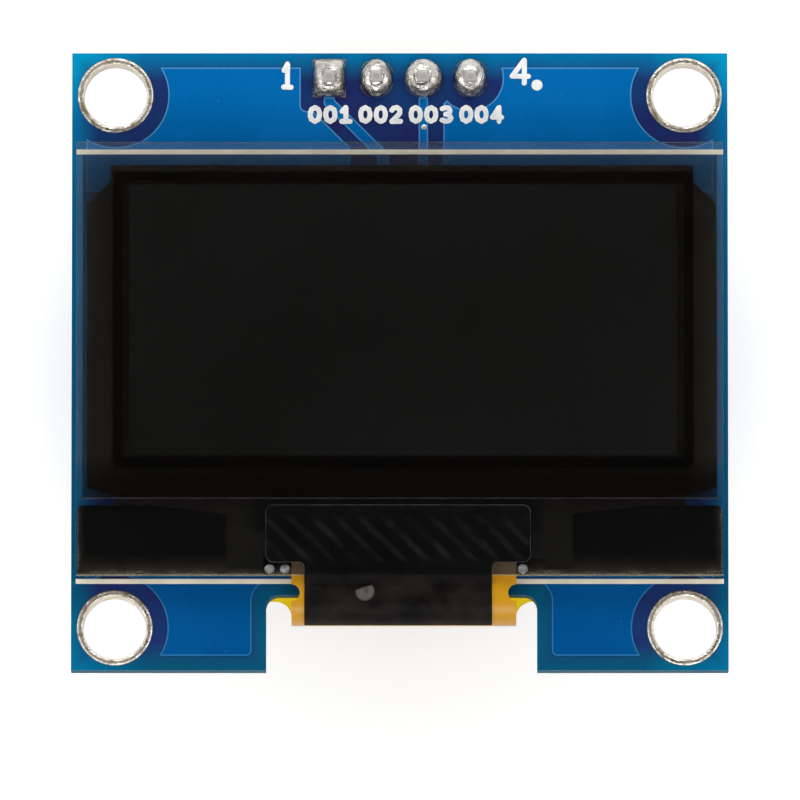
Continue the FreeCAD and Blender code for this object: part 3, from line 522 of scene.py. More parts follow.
@dataclass(frozen=True)
class Backing:
    """Black foam behind the ledge, greyed and dusty towards its outer edges."""

    name: str
    low: Vector
    high: Vector
    ragged: float = 0.12
    glow_reach: float = 1.5
    glow_power: float = 3.6
    glow_share: float = 0.3
    side_squeeze: float = 2.2
    dust_from: float = 0.03
    dust_to: float = 0.16

    def make(self) -> bpy.types.Material:
        """Builds the material."""
        tree = Tree(self.name)
        x, y, _ = tree.axes()
        half = (self.high.x - self.low.x) / 2
        side = tree.math("SUBTRACT", half, tree.math("ABSOLUTE", x))
        foot = tree.math("SUBTRACT", y, self.low.y)
        cloud = tree.noise(1.4, 5.0, 0.5)
        fade = tree.math("MINIMUM", tree.math("MULTIPLY", side, self.side_squeeze), foot)
        ragged = tree.math("ADD", fade, tree.span(cloud, 0.3, 0.7, -self.ragged * MM,
                                                  self.ragged * MM))
        glow = tree.math("POWER", tree.span(ragged, 0.0, self.glow_reach * MM, 1.0, 0.0),
                         self.glow_power)
        line = tree.span(ragged, self.dust_from * MM, self.dust_to * MM, 1.0, 0.0)
        grit = tree.span(tree.noise(0.09, 3.0), 0.45, 0.6)
        colour = tree.blend(tree.math("MULTIPLY", glow, self.glow_share), seen(5, 4, 4),
                            seen(120, 108, 96))
        colour = tree.blend(tree.math("MULTIPLY", line, grit), colour, seen(132, 124, 112))
        tree.bump(cloud, 0.03)
        return tree.dress(Base_Color=colour, Roughness=0.8, Specular_IOR_Level=0.05)


@dataclass(frozen=True)
class Coat:
    """Dark resin on the ledge: reddish under the rear glass, darker by the tape."""

    name: str
    top: float
    tape_side: float
    tape_middle: float
    brow: float = 0.3
    brow_fade: float = 0.15
    shade_width: float = 0.6
    shade_fade: float = 0.06
    shade_height: float = 1.7
    shade_rise: float = 0.05

    def make(self) -> bpy.types.Material:
        """Builds the material."""
        tree = Tree(self.name)
        x, y, _ = tree.axes()
        patches = tree.noise(1.6, 4.0)
        body = tree.blend(tree.span(patches, 0.35, 0.65), seen(16, 14, 12), seen(26, 23, 19))
        brow = tree.span(y, self.top - (self.brow + self.brow_fade) * MM,
                         self.top - self.brow * MM)
        colour = tree.blend(brow, body, seen(21, 13, 13))
        shade_from = self.tape_side + self.shade_width * MM
        near = tree.span(tree.apart(x, self.tape_middle), shade_from,
                         shade_from + self.shade_fade * MM, 1.0, 0.0)
        shade_foot = self.top - self.shade_height * MM
        high = tree.span(y, shade_foot - self.shade_rise * MM, shade_foot)
        colour = tree.blend(tree.math("MULTIPLY", near, high), colour, seen(5, 5, 5))
        tree.bump(patches, 0.004)
        return tree.dress(Base_Color=colour, Roughness=0.4, Specular_IOR_Level=0.1)


@dataclass(frozen=True)
class Film:
    """Black film or seal, blacker at its foot, with a line round the recess."""

    name: str
    low: Vector
    high: Vector
    corner: float
    line: float
    foot_fade: float = 0.6

    def make(self) -> bpy.types.Material:
        """Builds the material."""
        tree = Tree(self.name)
        x, y, _ = tree.axes()
        middle = (self.low + self.high) / 2
        half = (self.high - self.low) / 2
        past = []
        for value, centre, width in ((x, middle.x, half.x), (y, middle.y, half.y)):
            beyond = tree.math("SUBTRACT", tree.apart(value, centre), width - self.corner)
            past.append(tree.math("MAXIMUM", beyond, 0.0))
        ring = tree.apart(tree.reach(*past), self.corner + self.line / 2)
        lined = tree.span(ring, self.line * 0.4, self.line * 0.8, 1.0, 0.0)
        foot = tree.span(y, self.low.y, self.low.y + self.foot_fade * MM, 1.0, 0.0)
        patches = tree.noise(1.5, 3.0)
        body = tree.blend(tree.span(patches, 0.35, 0.65), seen(18, 18, 20), seen(24, 23, 25))
        colour = tree.blend(foot, body, seen(2, 2, 2))
        colour = tree.blend(lined, colour, seen(1, 1, 1))
        tree.bump(patches, 0.002)
        return tree.dress(Base_Color=colour, Roughness=0.5, Specular_IOR_Level=0.1)


@dataclass(frozen=True)
class Tape:
    """Black tape with slanting creases, and a pale spot over the ribbon."""

    name: str
    spot: Vector
    top: float
    crease_turn: float = -45.0
    crease_scale: float = 0.35
    crease_share: float = 0.7
    crease_from: float = 0.5
    crease_to: float = 2.7
    crease_fade: float = 0.5
    spot_radius: float = 0.44
    spot_fade: float = 0.11
    spot_cut: float = 0.16
    spot_cut_fade: float = 0.1
    spot_tilt: float = 0.33
    dust_from: float = 3.6
    dust_full: float = 4.3

    def below(self, tree: Tree, height: object, start: float, full: float) -> bpy.types.NodeSocket:
        """How far a place is past a band below the tape's top.

        Args:
            tree: The material's nodes.
            height: The place's height.
            start: Where the band starts, in millimetres below the top.
            full: Where it ends.

        Returns:
            A share from 0 to 1.
        """
        return tree.span(height, self.top - full * MM, self.top - start * MM, 1.0, 0.0)

    def make(self) -> bpy.types.Material:
        """Builds the material."""
        tree = Tree(self.name)
        x, y, _ = tree.axes()
        turn = (0.0, 0.0, math.radians(self.crease_turn))
        slant = tree.node("ShaderNodeMapping", {"Vector": tree.where, "Rotation": turn})
        inputs = {"Vector": slant.outputs[0], "Scale": self.crease_scale / MM, "Distortion": 0.8,
                  "Detail": 2.0, "Detail Scale": 1.5}
        waves = tree.node("ShaderNodeTexWave", inputs, bands_direction="X").outputs["Fac"]
        streak = tree.span(waves, 0.5, 0.95)
        top = self.below(tree, y, self.crease_from, self.crease_from + self.crease_fade)
        end = self.below(tree, y, self.crease_to, self.crease_to + self.crease_fade)
        foot = tree.math("SUBTRACT", 1.0, end)
        patchy = tree.span(tree.noise(1.1, 3.0), 0.3, 0.65)
        creases = tree.math("MULTIPLY", tree.math("MULTIPLY", streak, patchy),
                            tree.math("MULTIPLY", top, foot))
        spot_x = tree.math("SUBTRACT", x, self.spot.x)
        spot_y = tree.math("SUBTRACT", y, self.spot.y)
        over = tree.math("SUBTRACT", spot_y, tree.math("MULTIPLY", spot_x, self.spot_tilt))
        spot = tree.math("MULTIPLY",
                         tree.span(tree.reach(spot_x, spot_y), self.spot_radius * MM,
                                   (self.spot_radius + self.spot_fade) * MM, 1.0, 0.0),
                         tree.span(tree.noise(0.35, 3.0), 0.3, 0.6, 0.4, 1.0))
        spot = tree.math("MULTIPLY", spot,
                         tree.span(over, self.spot_cut * MM,
                                   (self.spot_cut + self.spot_cut_fade) * MM, 1.0, 0.0))
        dusty = tree.math("MULTIPLY", self.below(tree, y, self.dust_from, self.dust_full),
                          tree.span(tree.noise(1.3, 5.0), 0.3, 0.7))
        base = tree.blend(tree.span(tree.noise(2.0, 4.0), 0.35, 0.7), seen(7, 6, 7),
                          seen(12, 11, 12))
        base = tree.blend(dusty, base, seen(34, 30, 27))
        colour = tree.blend(tree.math("MULTIPLY", creases, self.crease_share), base,
                            seen(30, 29, 29))
        colour = tree.blend(spot, colour, seen(92, 88, 84))
        tree.bump(tree.math("ADD", creases, tree.noise(0.5, 3.0)), 0.03, 0.7)
        return tree.dress(Base_Color=colour, Roughness=0.4, Specular_IOR_Level=0.04)


@dataclass(frozen=True)
class Ribbon:
    """Amber film with the copper of its tail showing through, and its rear layer painted bright
    yellow as if lit from behind.
    """

    name: str
    pitch: float
    middle: float
    tail_from: float
    glass_foot: float
    track_half: float = 0.2
    track_fade: float = 0.06
    track_share: float = 0.75
    glue_share: float = 0.9

    def make(self) -> bpy.types.Material:
        """Builds the material."""
        tree = Tree(self.name)
        x, y, z = tree.axes()
        steps = tree.math("DIVIDE", tree.math("SUBTRACT", x, self.middle), self.pitch)
        saw = tree.math("ABSOLUTE", tree.math("SUBTRACT", tree.math("FRACT", steps), 0.5))
        track = tree.span(saw, self.track_half, self.track_half + self.track_fade, 1.0, 0.0)
        behind = tree.span(z, 0.1 * MM, 0.3 * MM, 1.0, 0.0)
        tail = tree.math("MULTIPLY", behind,
                         tree.span(y, self.tail_from, self.tail_from + 0.2 * MM))
        tracks = tree.math("MULTIPLY", track, tail)
        cloud = tree.noise(1.2, 3.0)
        film = tree.blend(tree.span(cloud, 0.3, 0.7), seen(216, 158, 24), seen(206, 148, 32))
        # Painted light: the rear layer turns bright yellow, as if lit from behind through the film.
        film = tree.blend(tree.span(z, 0.3 * MM, 1.2 * MM, 1.0, 0.0), film, seen(255, 220, 30))
        colour = tree.blend(tree.math("MULTIPLY", tracks, self.track_share), film,
                            seen(150, 86, 30))
        glued = tree.math("MULTIPLY", tree.span(y, self.glass_foot, self.glass_foot + 0.1 * MM),
                          tree.span(z, MM, 1.5 * MM))
        colour = tree.blend(tree.math("MULTIPLY", glued, self.glue_share), colour,
                            seen(98, 86, 74))
        tree.bump(tree.math("ADD", tracks, cloud), 0.012, 0.6)
        through = tree.math("MULTIPLY", tree.span(z, MM, 1.8 * MM, 0.85, 0.2),
                            tree.span(y, self.tail_from - 0.8 * MM, self.tail_from, 1.0, 0.2))
        return tree.dress(Base_Color=colour, Roughness=0.28, Transmission_Weight=through,
                          Specular_IOR_Level=0.3)


def show(name: str, shape: bmesh.types.BMesh,
         materials: list[bpy.types.Material]) -> bpy.types.Object:
    """Adds a shape to the scene.

    Args:
        name: The name of its mesh and object.
        shape: The shape, in metres, which is freed.
        materials: Its materials, in the order of the faces' numbers.

    Returns:
        The new object.
    """
    mesh = bpy.data.meshes.new(name)
    shape.to_mesh(mesh)
    shape.free()
    for material in materials:
        mesh.materials.append(material)
    shown = bpy.data.objects.new(name, mesh)
    bpy.context.scene.collection.objects.link(shown)
    return shown


def new_piece(name: str, shape: bmesh.types.BMesh,
              materials: list[bpy.types.Material], replaces: tuple[str, ...] = (),
              smooth_under: float = 35.0) -> bpy.types.Object:
    """Turns a shape into a piece of the object.

    Args:
        name: The piece's name.
        shape: The shape, in metres, which is freed.
        materials: Its materials, in the order of the faces' numbers.
        replaces: The CAD nodes that it stands for.
        smooth_under: Edges that turn by fewer degrees are shaded round.

    Returns:
        The new piece.
    """
    bmesh.ops.recalc_face_normals(shape, faces=shape.faces)
    limit = math.radians(smooth_under)
    for edge in shape.edges:
        edge.smooth = len(edge.link_faces) == 2 and edge.calc_face_angle(0.0) < limit
    for face in shape.faces:
        face.smooth = True
    piece = show(name, shape, materials)
    if replaces:
        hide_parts(*replaces)
    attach(piece, BODY)
    LOG.info("piece %s: %d faces", name, len(piece.data.polygons))
    return piece


def paint_node(node: str, material: bpy.types.Material) -> None:
    """Gives a CAD node that stays in view its material.

    Args:
        node: The node's name.
        material: The new material.
    """
    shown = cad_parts[node]
    shown.data.materials.clear()
    shown.data.materials.append(material)


def merged_copy(node: str) -> bmesh.types.BMesh:
    """A CAD node's shape with its triangles joined into whole flat faces.

    Args:
        node: The node's name.

    Returns:
        A new shape.
    """
    shape = bmesh.new()
    shape.from_mesh(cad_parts[node].data)
    bmesh.ops.remove_doubles(shape, verts=shape.verts, dist=1e-7)
    bmesh.ops.dissolve_limit(shape, angle_limit=math.radians(1.0), verts=shape.verts,
                             edges=shape.edges)
    return shape


def round_edges(shape: bmesh.types.BMesh, width: float, segments: int = 2,
                sharper_than: float = 40.0, upright: bool = True) -> list:
    """Rounds a shape's sharp edges.

    Args:
        shape: The shape to change.
        width: The width of the rounding in millimetres.
        segments: How many steps it has.
        sharper_than: Only edges that turn by more degrees are rounded.
        upright: Whether edges that run along Z are rounded too.

    Returns:
        The new faces.
    """
    limit = math.radians(sharper_than)
    edges = []
    for edge in shape.edges:
        if len(edge.link_faces) != 2 or edge.calc_face_angle(0.0) < limit:
            continue
        start, end = edge.verts
        if not upright and abs(start.co.z - end.co.z) > 1e-7:
            continue
        edges.append(edge)
    made = bmesh.ops.bevel(shape, geom=edges, offset=width * MM, offset_type="OFFSET",
                           segments=segments, profile=0.5, affect="EDGES",
                           clamp_overlap=True, material=-1)
    return made["faces"]


def eased_piece(name: str, node: str, slot: Slot, material: bpy.types.Material, width: float,
                segments: int = 2, smooth_under: float = 35.0, **edges) -> None:
    """Rebuilds a CAD node with its sharp edges rounded.

    Args:
        name: The new piece's name.
        node: The CAD node that it stands for.
        slot: The record's material slot; not used.
        material: Its material.
        width: The width of the rounding in millimetres.
        segments: How many steps the rounding has.
        smooth_under: Edges that turn by fewer degrees are shaded round.
        edges: Which edges are rounded, as round_edges takes them.
    """
    shape = merged_copy(node)
    round_edges(shape, width, segments, **edges)
    new_piece(name, shape, [material], (node,), smooth_under)


def turned(profile: list[tuple[float, float]], steps: int) -> bmesh.types.BMesh:
    """A closed ring turned about the Z axis.

    Args:
        profile: Its section as radius and height in metres, in order.
        steps: How many steps the turn has.

    Returns:
        A new shape.
    """
    shape = bmesh.new()
    corners = [shape.verts.new((radius, 0.0, height)) for radius, height in profile]
    edges = [shape.edges.new((corner, corners[index - 1])) for index, corner in enumerate(corners)]
    bmesh.ops.spin(shape, geom=corners + edges, cent=(0, 0, 0), axis=(0, 0, 1),
                   angle=math.tau, steps=steps, use_merge=True)
    bmesh.ops.remove_doubles(shape, verts=shape.verts, dist=1e-8)
    return shape


def middle_of(node: str) -> Vector:
    """The middle of a CAD node's box."""
    low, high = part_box(node)
    return (low + high) / 2


@dataclass
class Board:
    """The circuit board with its copper under the mask, and a painted highlight round the copper's
    edges.
    """

    highlight_width: float = 0.07

    def mask(self) -> bpy.types.Material:
        """The mask, with its glow measured from the board's own edges."""
        low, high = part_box("circuit_board")
        notch = self.notch()
        return Mask("blue_mask", high.x, high.y, notch[0], notch[1], notch[2],
                    high.z - low.z).make()

    def notch(self) -> tuple[float, float, float]:
        """The notch's middle, half width and top, from the board's own corners."""
        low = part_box("circuit_board")[0]
        points = [v.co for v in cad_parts["circuit_board"].data.vertices]
        ends = [p.x for p in points if p.y < low.y + 1e-6]
        left = max(x for x in ends if x < 0)
        right = min(x for x in ends if x > 0)
        top = max(p.y for p in points if left < p.x < right and p.y < -10 * MM)
        return (left + right) / 2, (right - left) / 2, top

    def build(self) -> None:
        """Dresses the board and its copper."""
        paint_node("circuit_board", self.mask())
        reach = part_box("circuit_board")[1].y
        over_copper = Field("mask_over_copper", seen(0, 76, 136), seen(0, 102, 172), reach).make()
        # Painted highlight: each copper field's rim gets a lighter blue, where its edge would catch
        # the light.
        edge = Field("copper_edge_highlight", seen(40, 108, 160), seen(78, 142, 198), reach).make()
        for node in ("copper_fields", "signal_traces"):
            shape = merged_copy(node)
            tops = [face for face in shape.faces if face.normal.z > 0.9]
            highlight_rims = bmesh.ops.inset_region(shape, faces=tops, thickness=self.highlight_width * MM,
                                          use_even_offset=True)["faces"]
            for face in highlight_rims:
                face.material_index = 1
            new_piece(f"{node}_masked", shape, [over_copper, edge], (node,))


@dataclass
class TestPoint:
    """The small tinned dot on the third pin's trace."""

    x: float = 1.31
    y: float = 12.72
    radius: float = 0.15

    def build(self) -> None:
        """Builds the dot as a low dome."""
        tin = Metal("dot_tin", seen(220, 222, 224), seen(170, 172, 176), 0.4, 0.06, 0.01).make()
        shape = bmesh.new()
        bmesh.ops.create_uvsphere(shape, u_segments=24, v_segments=12, radius=self.radius * MM)
        bmesh.ops.scale(shape, vec=(1.0, 1.0, 0.2), verts=shape.verts)
        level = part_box("signal_traces")[1].z
        bmesh.ops.translate(shape, vec=(self.x * MM, self.y * MM, level), verts=shape.verts)
        new_piece("test_dot", shape, [tin])


@dataclass
class Holes:
    """The four tinned mounting holes."""

    count: int = 4
    bead: float = 0.09
    rear_share: float = 0.55
    wall: float = 0.05
    steps: int = 96

    def build(self) -> None:
        """Builds a rounded tinned rim with its sleeve for each hole."""
        tin = Metal("rim_tin", seen(226, 219, 206), seen(132, 118, 100), 0.34, 0.13, 0.03).make()
        bore_tin = Plain("bore_tin", seen(236, 228, 214), seen(204, 190, 168),
                         0.5, 0.1, 0.01).make()
        board_low, board_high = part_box("circuit_board")
        for index in range(1, self.count + 1):
            node = f"hole_plating_{index}"
            low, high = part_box(node)
            outer = (high.x - low.x) / 2
            bore = self.bore(node)
            shape = turned(self.section(bore, outer, board_low.z, board_high.z), self.steps)
            centre = middle_of(node)
            bmesh.ops.translate(shape, vec=(centre.x, centre.y, 0.0), verts=shape.verts)
            for face in shape.faces:
                spot = face.calc_center_median()
                off = math.hypot(spot.x - centre.x, spot.y - centre.y)
                face.material_index = 1 if off < bore + self.wall * MM else 0
            new_piece(f"hole_rim_{index}", shape, [tin, bore_tin], (node,), 50.0)

    def bore(self, node: str) -> float:
        """The radius of a plated hole, from the node's nearest corner."""
        centre = middle_of(node)
        return min(math.hypot(v.co.x - centre.x, v.co.y - centre.y)
                   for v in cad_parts[node].data.vertices)

    def section(self, bore: float, outer: float, back: float,
                front: float) -> list[tuple[float, float]]:
        """The rim's rounded section.

        Args:
            bore: The hole's radius in metres.
            outer: The rim's outer radius in metres.
            back: The board's rear face.
            front: The board's front face.

        Returns:
            Points as radius and height, once round.
        """
        wide = (outer - bore) / 2
        middle = bore + wide
        wall = self.wall * MM
        arc = [math.pi * step / 8 for step in range(9)]
        upper = [(middle + wide * math.cos(a), front + self.bead * MM * math.sin(a)) for a in arc]
        sunk = self.bead * self.rear_share * MM
        lower = [(middle - wide * math.cos(a), back - sunk * math.sin(a)) for a in arc]
        return [(bore + wall, front), *upper, *lower, (bore + wall, back)]


@dataclass
class Header:
    """The pins, their solder joints, pads and moulding."""

    count: int = 4
    rings: int = 48
    cover: float = 1.02
    first_squareness: float = 0.8
    lean: float = 0.05
    seed: int = 40
    heights: tuple = ((1.0, 0.0), (1.0, 0.08), (0.97, 0.2), (0.92, 0.34), (0.85, 0.47), (0.76, 0.6),
                      (0.66, 0.72), (0.55, 0.81), (0.45, 0.86), (0.38, 0.87), (0.33, 0.9),
                      (0.26, 0.97), (0.14, 1.0))

    def build(self) -> None:
        """Builds every part of the header."""
        solder = Metal("joint_solder", seen(196, 192, 186), seen(112, 106, 100),
                       0.2, 0.22, 0.06).make()
        tin = Metal("pad_tin", seen(200, 196, 188), seen(150, 144, 134), 0.3, 0.15, 0.01).make()
        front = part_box("circuit_board")[1].z
        pin = PinMetal("pin_plating", seen(226, 190, 110), seen(176, 173, 168), front).make()
        for index in range(1, self.count + 1):
            paint_node(f"header_pad_{index}", tin)
            eased_piece(f"pin_{index}", f"header_pin_{index}", Slot.PIN, pin, 0.03,
                        sharper_than=20.0)
            self.joint(index, solder)
        plastic = Plain("black_moulding", seen(22, 22, 23), seen(32, 32, 33),
                        0.45, 0.2, 0.01).make()
        eased_piece("header_moulding", "header_body", Slot.MOULDING, plastic, 0.06)

    def joint(self, index: int, solder: bpy.types.Material) -> None:
        """One solder joint: a dome that wets its pad and climbs the pin.

        Args:
            index: The pin's number, from 1.
            solder: The material.
        """
        pad_low, pad_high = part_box(f"header_pad_{index}")
        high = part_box(f"solder_joint_{index}")[1]
        centre = middle_of(f"header_pad_{index}")
        half = (pad_high - pad_low) / 2
        rise = high.z - pad_high.z
        squareness = self.first_squareness if index == 1 else 0.0
        draw = random.Random(self.seed + index)
        lean = Vector([draw.uniform(-self.lean, self.lean) for _ in range(2)] + [0.0]) * MM
        shape = bmesh.new()
        ring = bmesh.ops.create_circle(shape, segments=self.rings, radius=1.0)["verts"]
        edges = list({edge for vert in ring for edge in vert.link_edges})
        self.set_ring(ring, 1.0, 0.0, half, rise, squareness)
        for spread, lift in self.heights[1:]:
            made = bmesh.ops.extrude_edge_only(shape, edges=edges)["geom"]
            ring = [item for item in made if isinstance(item, bmesh.types.BMVert)]
            edges = [item for item in made if isinstance(item, bmesh.types.BMEdge)]
            self.set_ring(ring, spread, lift, half, rise, squareness * (1 - lift))
            bmesh.ops.translate(shape, vec=lean * lift, verts=ring)
        bmesh.ops.contextual_create(shape, geom=edges)
        foot = [edge for edge in shape.edges if edge.is_boundary]
        bmesh.ops.contextual_create(shape, geom=foot)
        bmesh.ops.translate(shape, vec=(centre.x, centre.y, pad_high.z), verts=shape.verts)
        new_piece(f"solder_{index}", shape, [solder], (f"solder_joint_{index}",), 60.0)

    def set_ring(self, ring: list, spread: float, lift: float, half: Vector, rise: float,
                 squareness: float) -> None:
        """Moves one ring of a joint to its place about the origin.

        Args:
            ring: The ring's points.
            spread: Its share of the pad's width.
            lift: Its share of the joint's height.
            half: Half the pad's size.
            rise: The joint's height.
            squareness: 0 for round, 1 for square.
        """
        for vert in ring:
            angle = math.atan2(vert.co.y, vert.co.x)
            reach = 1 / max(abs(math.cos(angle)), abs(math.sin(angle)))
            out = 1 + (reach - 1) * squareness
            vert.co.x = math.cos(angle) * half.x * self.cover * spread * out
            vert.co.y = math.sin(angle) * half.y * self.cover * spread * out
            vert.co.z = rise * lift


DIGITS = {
    "0": (((0.5, 0.0), (0.12, 0.14), (0.0, 0.38), (0.0, 0.62), (0.12, 0.86), (0.5, 1.0),
           (0.88, 0.86), (1.0, 0.62), (1.0, 0.38), (0.88, 0.14), (0.5, 0.0)),),
    "1": (((0.1, 0.72), (0.52, 1.0), (0.52, 0.0)), ((0.05, 0.0), (0.98, 0.0))),
    "2": (((0.03, 0.8), (0.25, 0.97), (0.6, 1.0), (0.92, 0.84), (0.92, 0.6), (0.6, 0.36),
           (0.03, 0.0), (1.0, 0.0)),),
    "3": (((0.03, 0.9), (0.35, 1.0), (0.75, 0.95), (0.9, 0.77), (0.75, 0.56), (0.4, 0.52)),
          ((0.4, 0.52), (0.8, 0.46), (1.0, 0.25), (0.8, 0.05), (0.4, 0.0), (0.0, 0.1))),
    "4": (((0.74, 0.0), (0.74, 1.0), (0.0, 0.3), (1.0, 0.3)),),
}


@dataclass
class Print:
    """The white printing on the board's front."""

    labels: tuple = ("001", "002", "003", "004")
    digit_width: float = 0.76
    digit_step: float = 0.83
    numeral_height: float = 1.53
    one_width: float = 0.72
    one_in: float = 0.11
    one_drop: float = 0.07
    four_width: float = 1.14
    four_before_dot: float = 0.9
    four_rise: float = 0.14
    dot_radius: float = 0.3
    stroke: float = 0.27
    cap_steps: int = 6
    ragged: float = 0.012
    layer: float = 0.0003
    draw: random.Random = field(default_factory=lambda: random.Random(5))

    def build(self) -> None:
        """Prints the labels, the pin numerals, the dot and the panel lines."""
        ink = Plain("white_print", seen(246, 246, 244), seen(226, 228, 230),
                    0.6, 0.1, 0.02, 0.3).make()
        low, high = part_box("printed_labels")
        self.print_row(low, high, ink)
        self.print_numerals(ink)
        warm = Plain("line_print", seen(250, 242, 222), seen(236, 228, 208),
                     0.6, 0.2, 0.02, 0.3).make()
        eased_piece("print_lines", "printed_lines", Slot.INK, warm, 0.01, 1, upright=False)

    def print_row(self, low: Vector, high: Vector, ink: bpy.types.Material) -> None:
        """Prints a plain number below each pin.

        Args:
            low: The lowest corner of the row's space.
            high: The highest corner of the row's space.
            ink: The material.
        """
        shape = bmesh.new()
        wide = (self.digit_width + (len(self.labels[0]) - 1) * self.digit_step) * MM
        apart = (high.x - low.x - wide) / (len(self.labels) - 1)
        for index, text in enumerate(self.labels):
            for spot, character in enumerate(text):
                left = low.x + index * apart + spot * self.digit_step * MM
                room = (left, left + self.digit_width * MM, low.y, high.y)
                self.add_digit(shape, character, room, (low.z, high.z))
        new_piece("print_labels", shape, [ink], ("printed_labels",))

    def print_numerals(self, ink: bpy.types.Material) -> None:
        """Prints the numbers of the first and last pin, and the dot."""
        low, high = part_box("printed_numerals")
        shape = bmesh.new()
        dot = self.dot_radius * MM
        dot_x, dot_y = high.x - dot, low.y + dot
        tall = self.numeral_height * MM
        up = (low.z, high.z)
        numerals = (("1", low.x + self.one_in * MM, high.y - self.one_drop * MM, self.one_width),
                    ("4", dot_x - self.four_before_dot * MM, high.y + self.four_rise * MM,
                     self.four_width))
        for character, middle, top, width in numerals:
            half = width / 2 * MM
            self.add_digit(shape, character, (middle - half, middle + half, top - tall, top), up)
        disc = bmesh.ops.create_cone(shape, cap_ends=True, segments=24, radius1=dot,
                                     radius2=dot * 0.96, depth=high.z - low.z)["verts"]
        bmesh.ops.translate(shape, vec=(dot_x, dot_y, (low.z + high.z) / 2), verts=disc)
        new_piece("print_numerals", shape, [ink], ("printed_numerals",))

    def add_digit(self, shape: bmesh.types.BMesh, character: str,
                  room: tuple[float, float, float, float], up: tuple[float, float]) -> None:
        """Adds a flat digit of thick pen strokes that fills a rectangle.

        Args:
            shape: The shape that it joins.
            character: The digit.
            room: Left, right, low and high bounds in metres.
            up: Its two levels.
        """
        half = self.stroke * MM / 2
        left, right, foot, top = (room[0] + half, room[1] - half, room[2] + half, room[3] - half)
        rise = 0
        for points in DIGITS[character]:
            spots = [Vector((left + x * (right - left), foot + y * (top - foot), 0.0))
                     for x, y in points]
            for start, end in zip(spots, spots[1:]):
                rise += 1
                self.add_stroke(shape, start, end, (up[0], up[1] - rise * self.layer * MM))

    def add_stroke(self, shape: bmesh.types.BMesh, start: Vector, end: Vector,
                   up: tuple[float, float]) -> None:
        """Adds one straight pen stroke with round ends and a slightly ragged edge.

        Args:
            shape: The shape that it joins.
            start: Where the stroke starts.
            end: Where it ends.
            up: Its two levels.
        """
        along = (end - start).normalized()
        turn = math.atan2(along.y, along.x)
        rim = []
        for centre, first in ((end, -math.pi / 2), (start, math.pi / 2)):
            for step in range(self.cap_steps + 1):
                angle = turn + first + math.pi * step / self.cap_steps
                radius = self.stroke * MM / 2 + self.draw.uniform(-self.ragged, self.ragged) * MM
                rim.append(centre + Vector((math.cos(angle), math.sin(angle), 0.0)) * radius)
        low = [shape.verts.new((p.x, p.y, up[0])) for p in rim]
        high = [shape.verts.new((p.x, p.y, up[1])) for p in rim]
        shape.faces.new(high)
        shape.faces.new(low[::-1])
        for index in range(len(rim)):
            shape.faces.new((low[index - 1], low[index], high[index], high[index - 1]))


@dataclass
class Panel:
    """The display: two glasses, what lies between them, the film and polarizer."""

    slack: float = 0.004
    seal_width: float = 0.5
    recess_round: float = 0.3
    recess_line: float = 0.07
    edge_margin: float = 0.1

    def build(self) -> None:
        """Builds the display from back to front."""
        foam = Plain("panel_foam_black", seen(24, 24, 24), seen(34, 33, 32), 0.9, 0.1, 0.03).make()
        seal_low, seal_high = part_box("edge_seal")
        rim = Vector((self.seal_width, self.seal_width, 0.0)) * MM
        inside = (seal_low + rim, seal_high - rim, self.recess_round * MM)
        film = Film("film_black", *inside, 0.0).make()
        seal = Film("seal_resin", *inside, self.recess_line * MM).make()
        lit = Plain("display_layers", seen(60, 66, 74), seen(68, 74, 84), 0.4, 1.8, 0.0, 0.1).make()
        sheet = Plain("drying_sheet", seen(50, 55, 62), seen(58, 63, 71), 0.8, 0.3, 0.01).make()
        for node, slot, material in (("panel_foam", Slot.FOAM, foam),
                                     ("black_film", Slot.FILM, film),
                                     ("edge_seal", Slot.SEAL, seal),
                                     ("light_layers", Slot.LAYERS, lit),
                                     ("drying_sheet", Slot.SHEET, sheet)):
            paint_node(node, material)
        clear = Clear("clear_front_glass", (0.97, 0.985, 0.98), 0.02, 1.45).make()
        foot = seal_low.y - self.seal_width * MM
        rear = Haze("clear_rear_glass", seen(172, 182, 188), 0.085, foot).make()
        cut_edge = Thin("cut_glass_edge", seen(222, 214, 168), seen(34, 46, 44),
                        0.75, 0.5, 0.1).make()
        dark = Clear("polarizer_tint", (0.56, 0.5, 0.44), 0.04, 1.35).make()
        rim = Thin("polarizer_edge", seen(150, 138, 130), seen(90, 84, 82), 0.5, 0.5).make()
        self.slab("front_glass", [clear, cut_edge])
        self.slab("cap_glass", [rear, rear])
        self.slab("polarizer", [dark, rim])

    def slab(self, node: str, materials: list[bpy.types.Material]) -> None:
        """Rebuilds a glass or film with rounded, rougher edges.

        Args:
            node: The CAD node.
            materials: The face's material, then the edge's.
        """
        low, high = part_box(node)
        shape = merged_copy(node)
        for vert in shape.verts:
            if vert.co.z > high.z - 1e-7:
                vert.co.z -= self.slack * MM
            elif vert.co.z < low.z + 1e-7:
                vert.co.z += self.slack * MM
        near = self.edge_margin * MM
        for face in shape.faces:
            centre = face.calc_center_median()
            inside = (low.x + near < centre.x < high.x - near
                      and low.y + near < centre.y < high.y - near)
            face.material_index = 1 if abs(face.normal.z) < 0.5 and not inside else 0
        new_piece(f"{node}_dressed", shape, materials, (node,), 20.0)


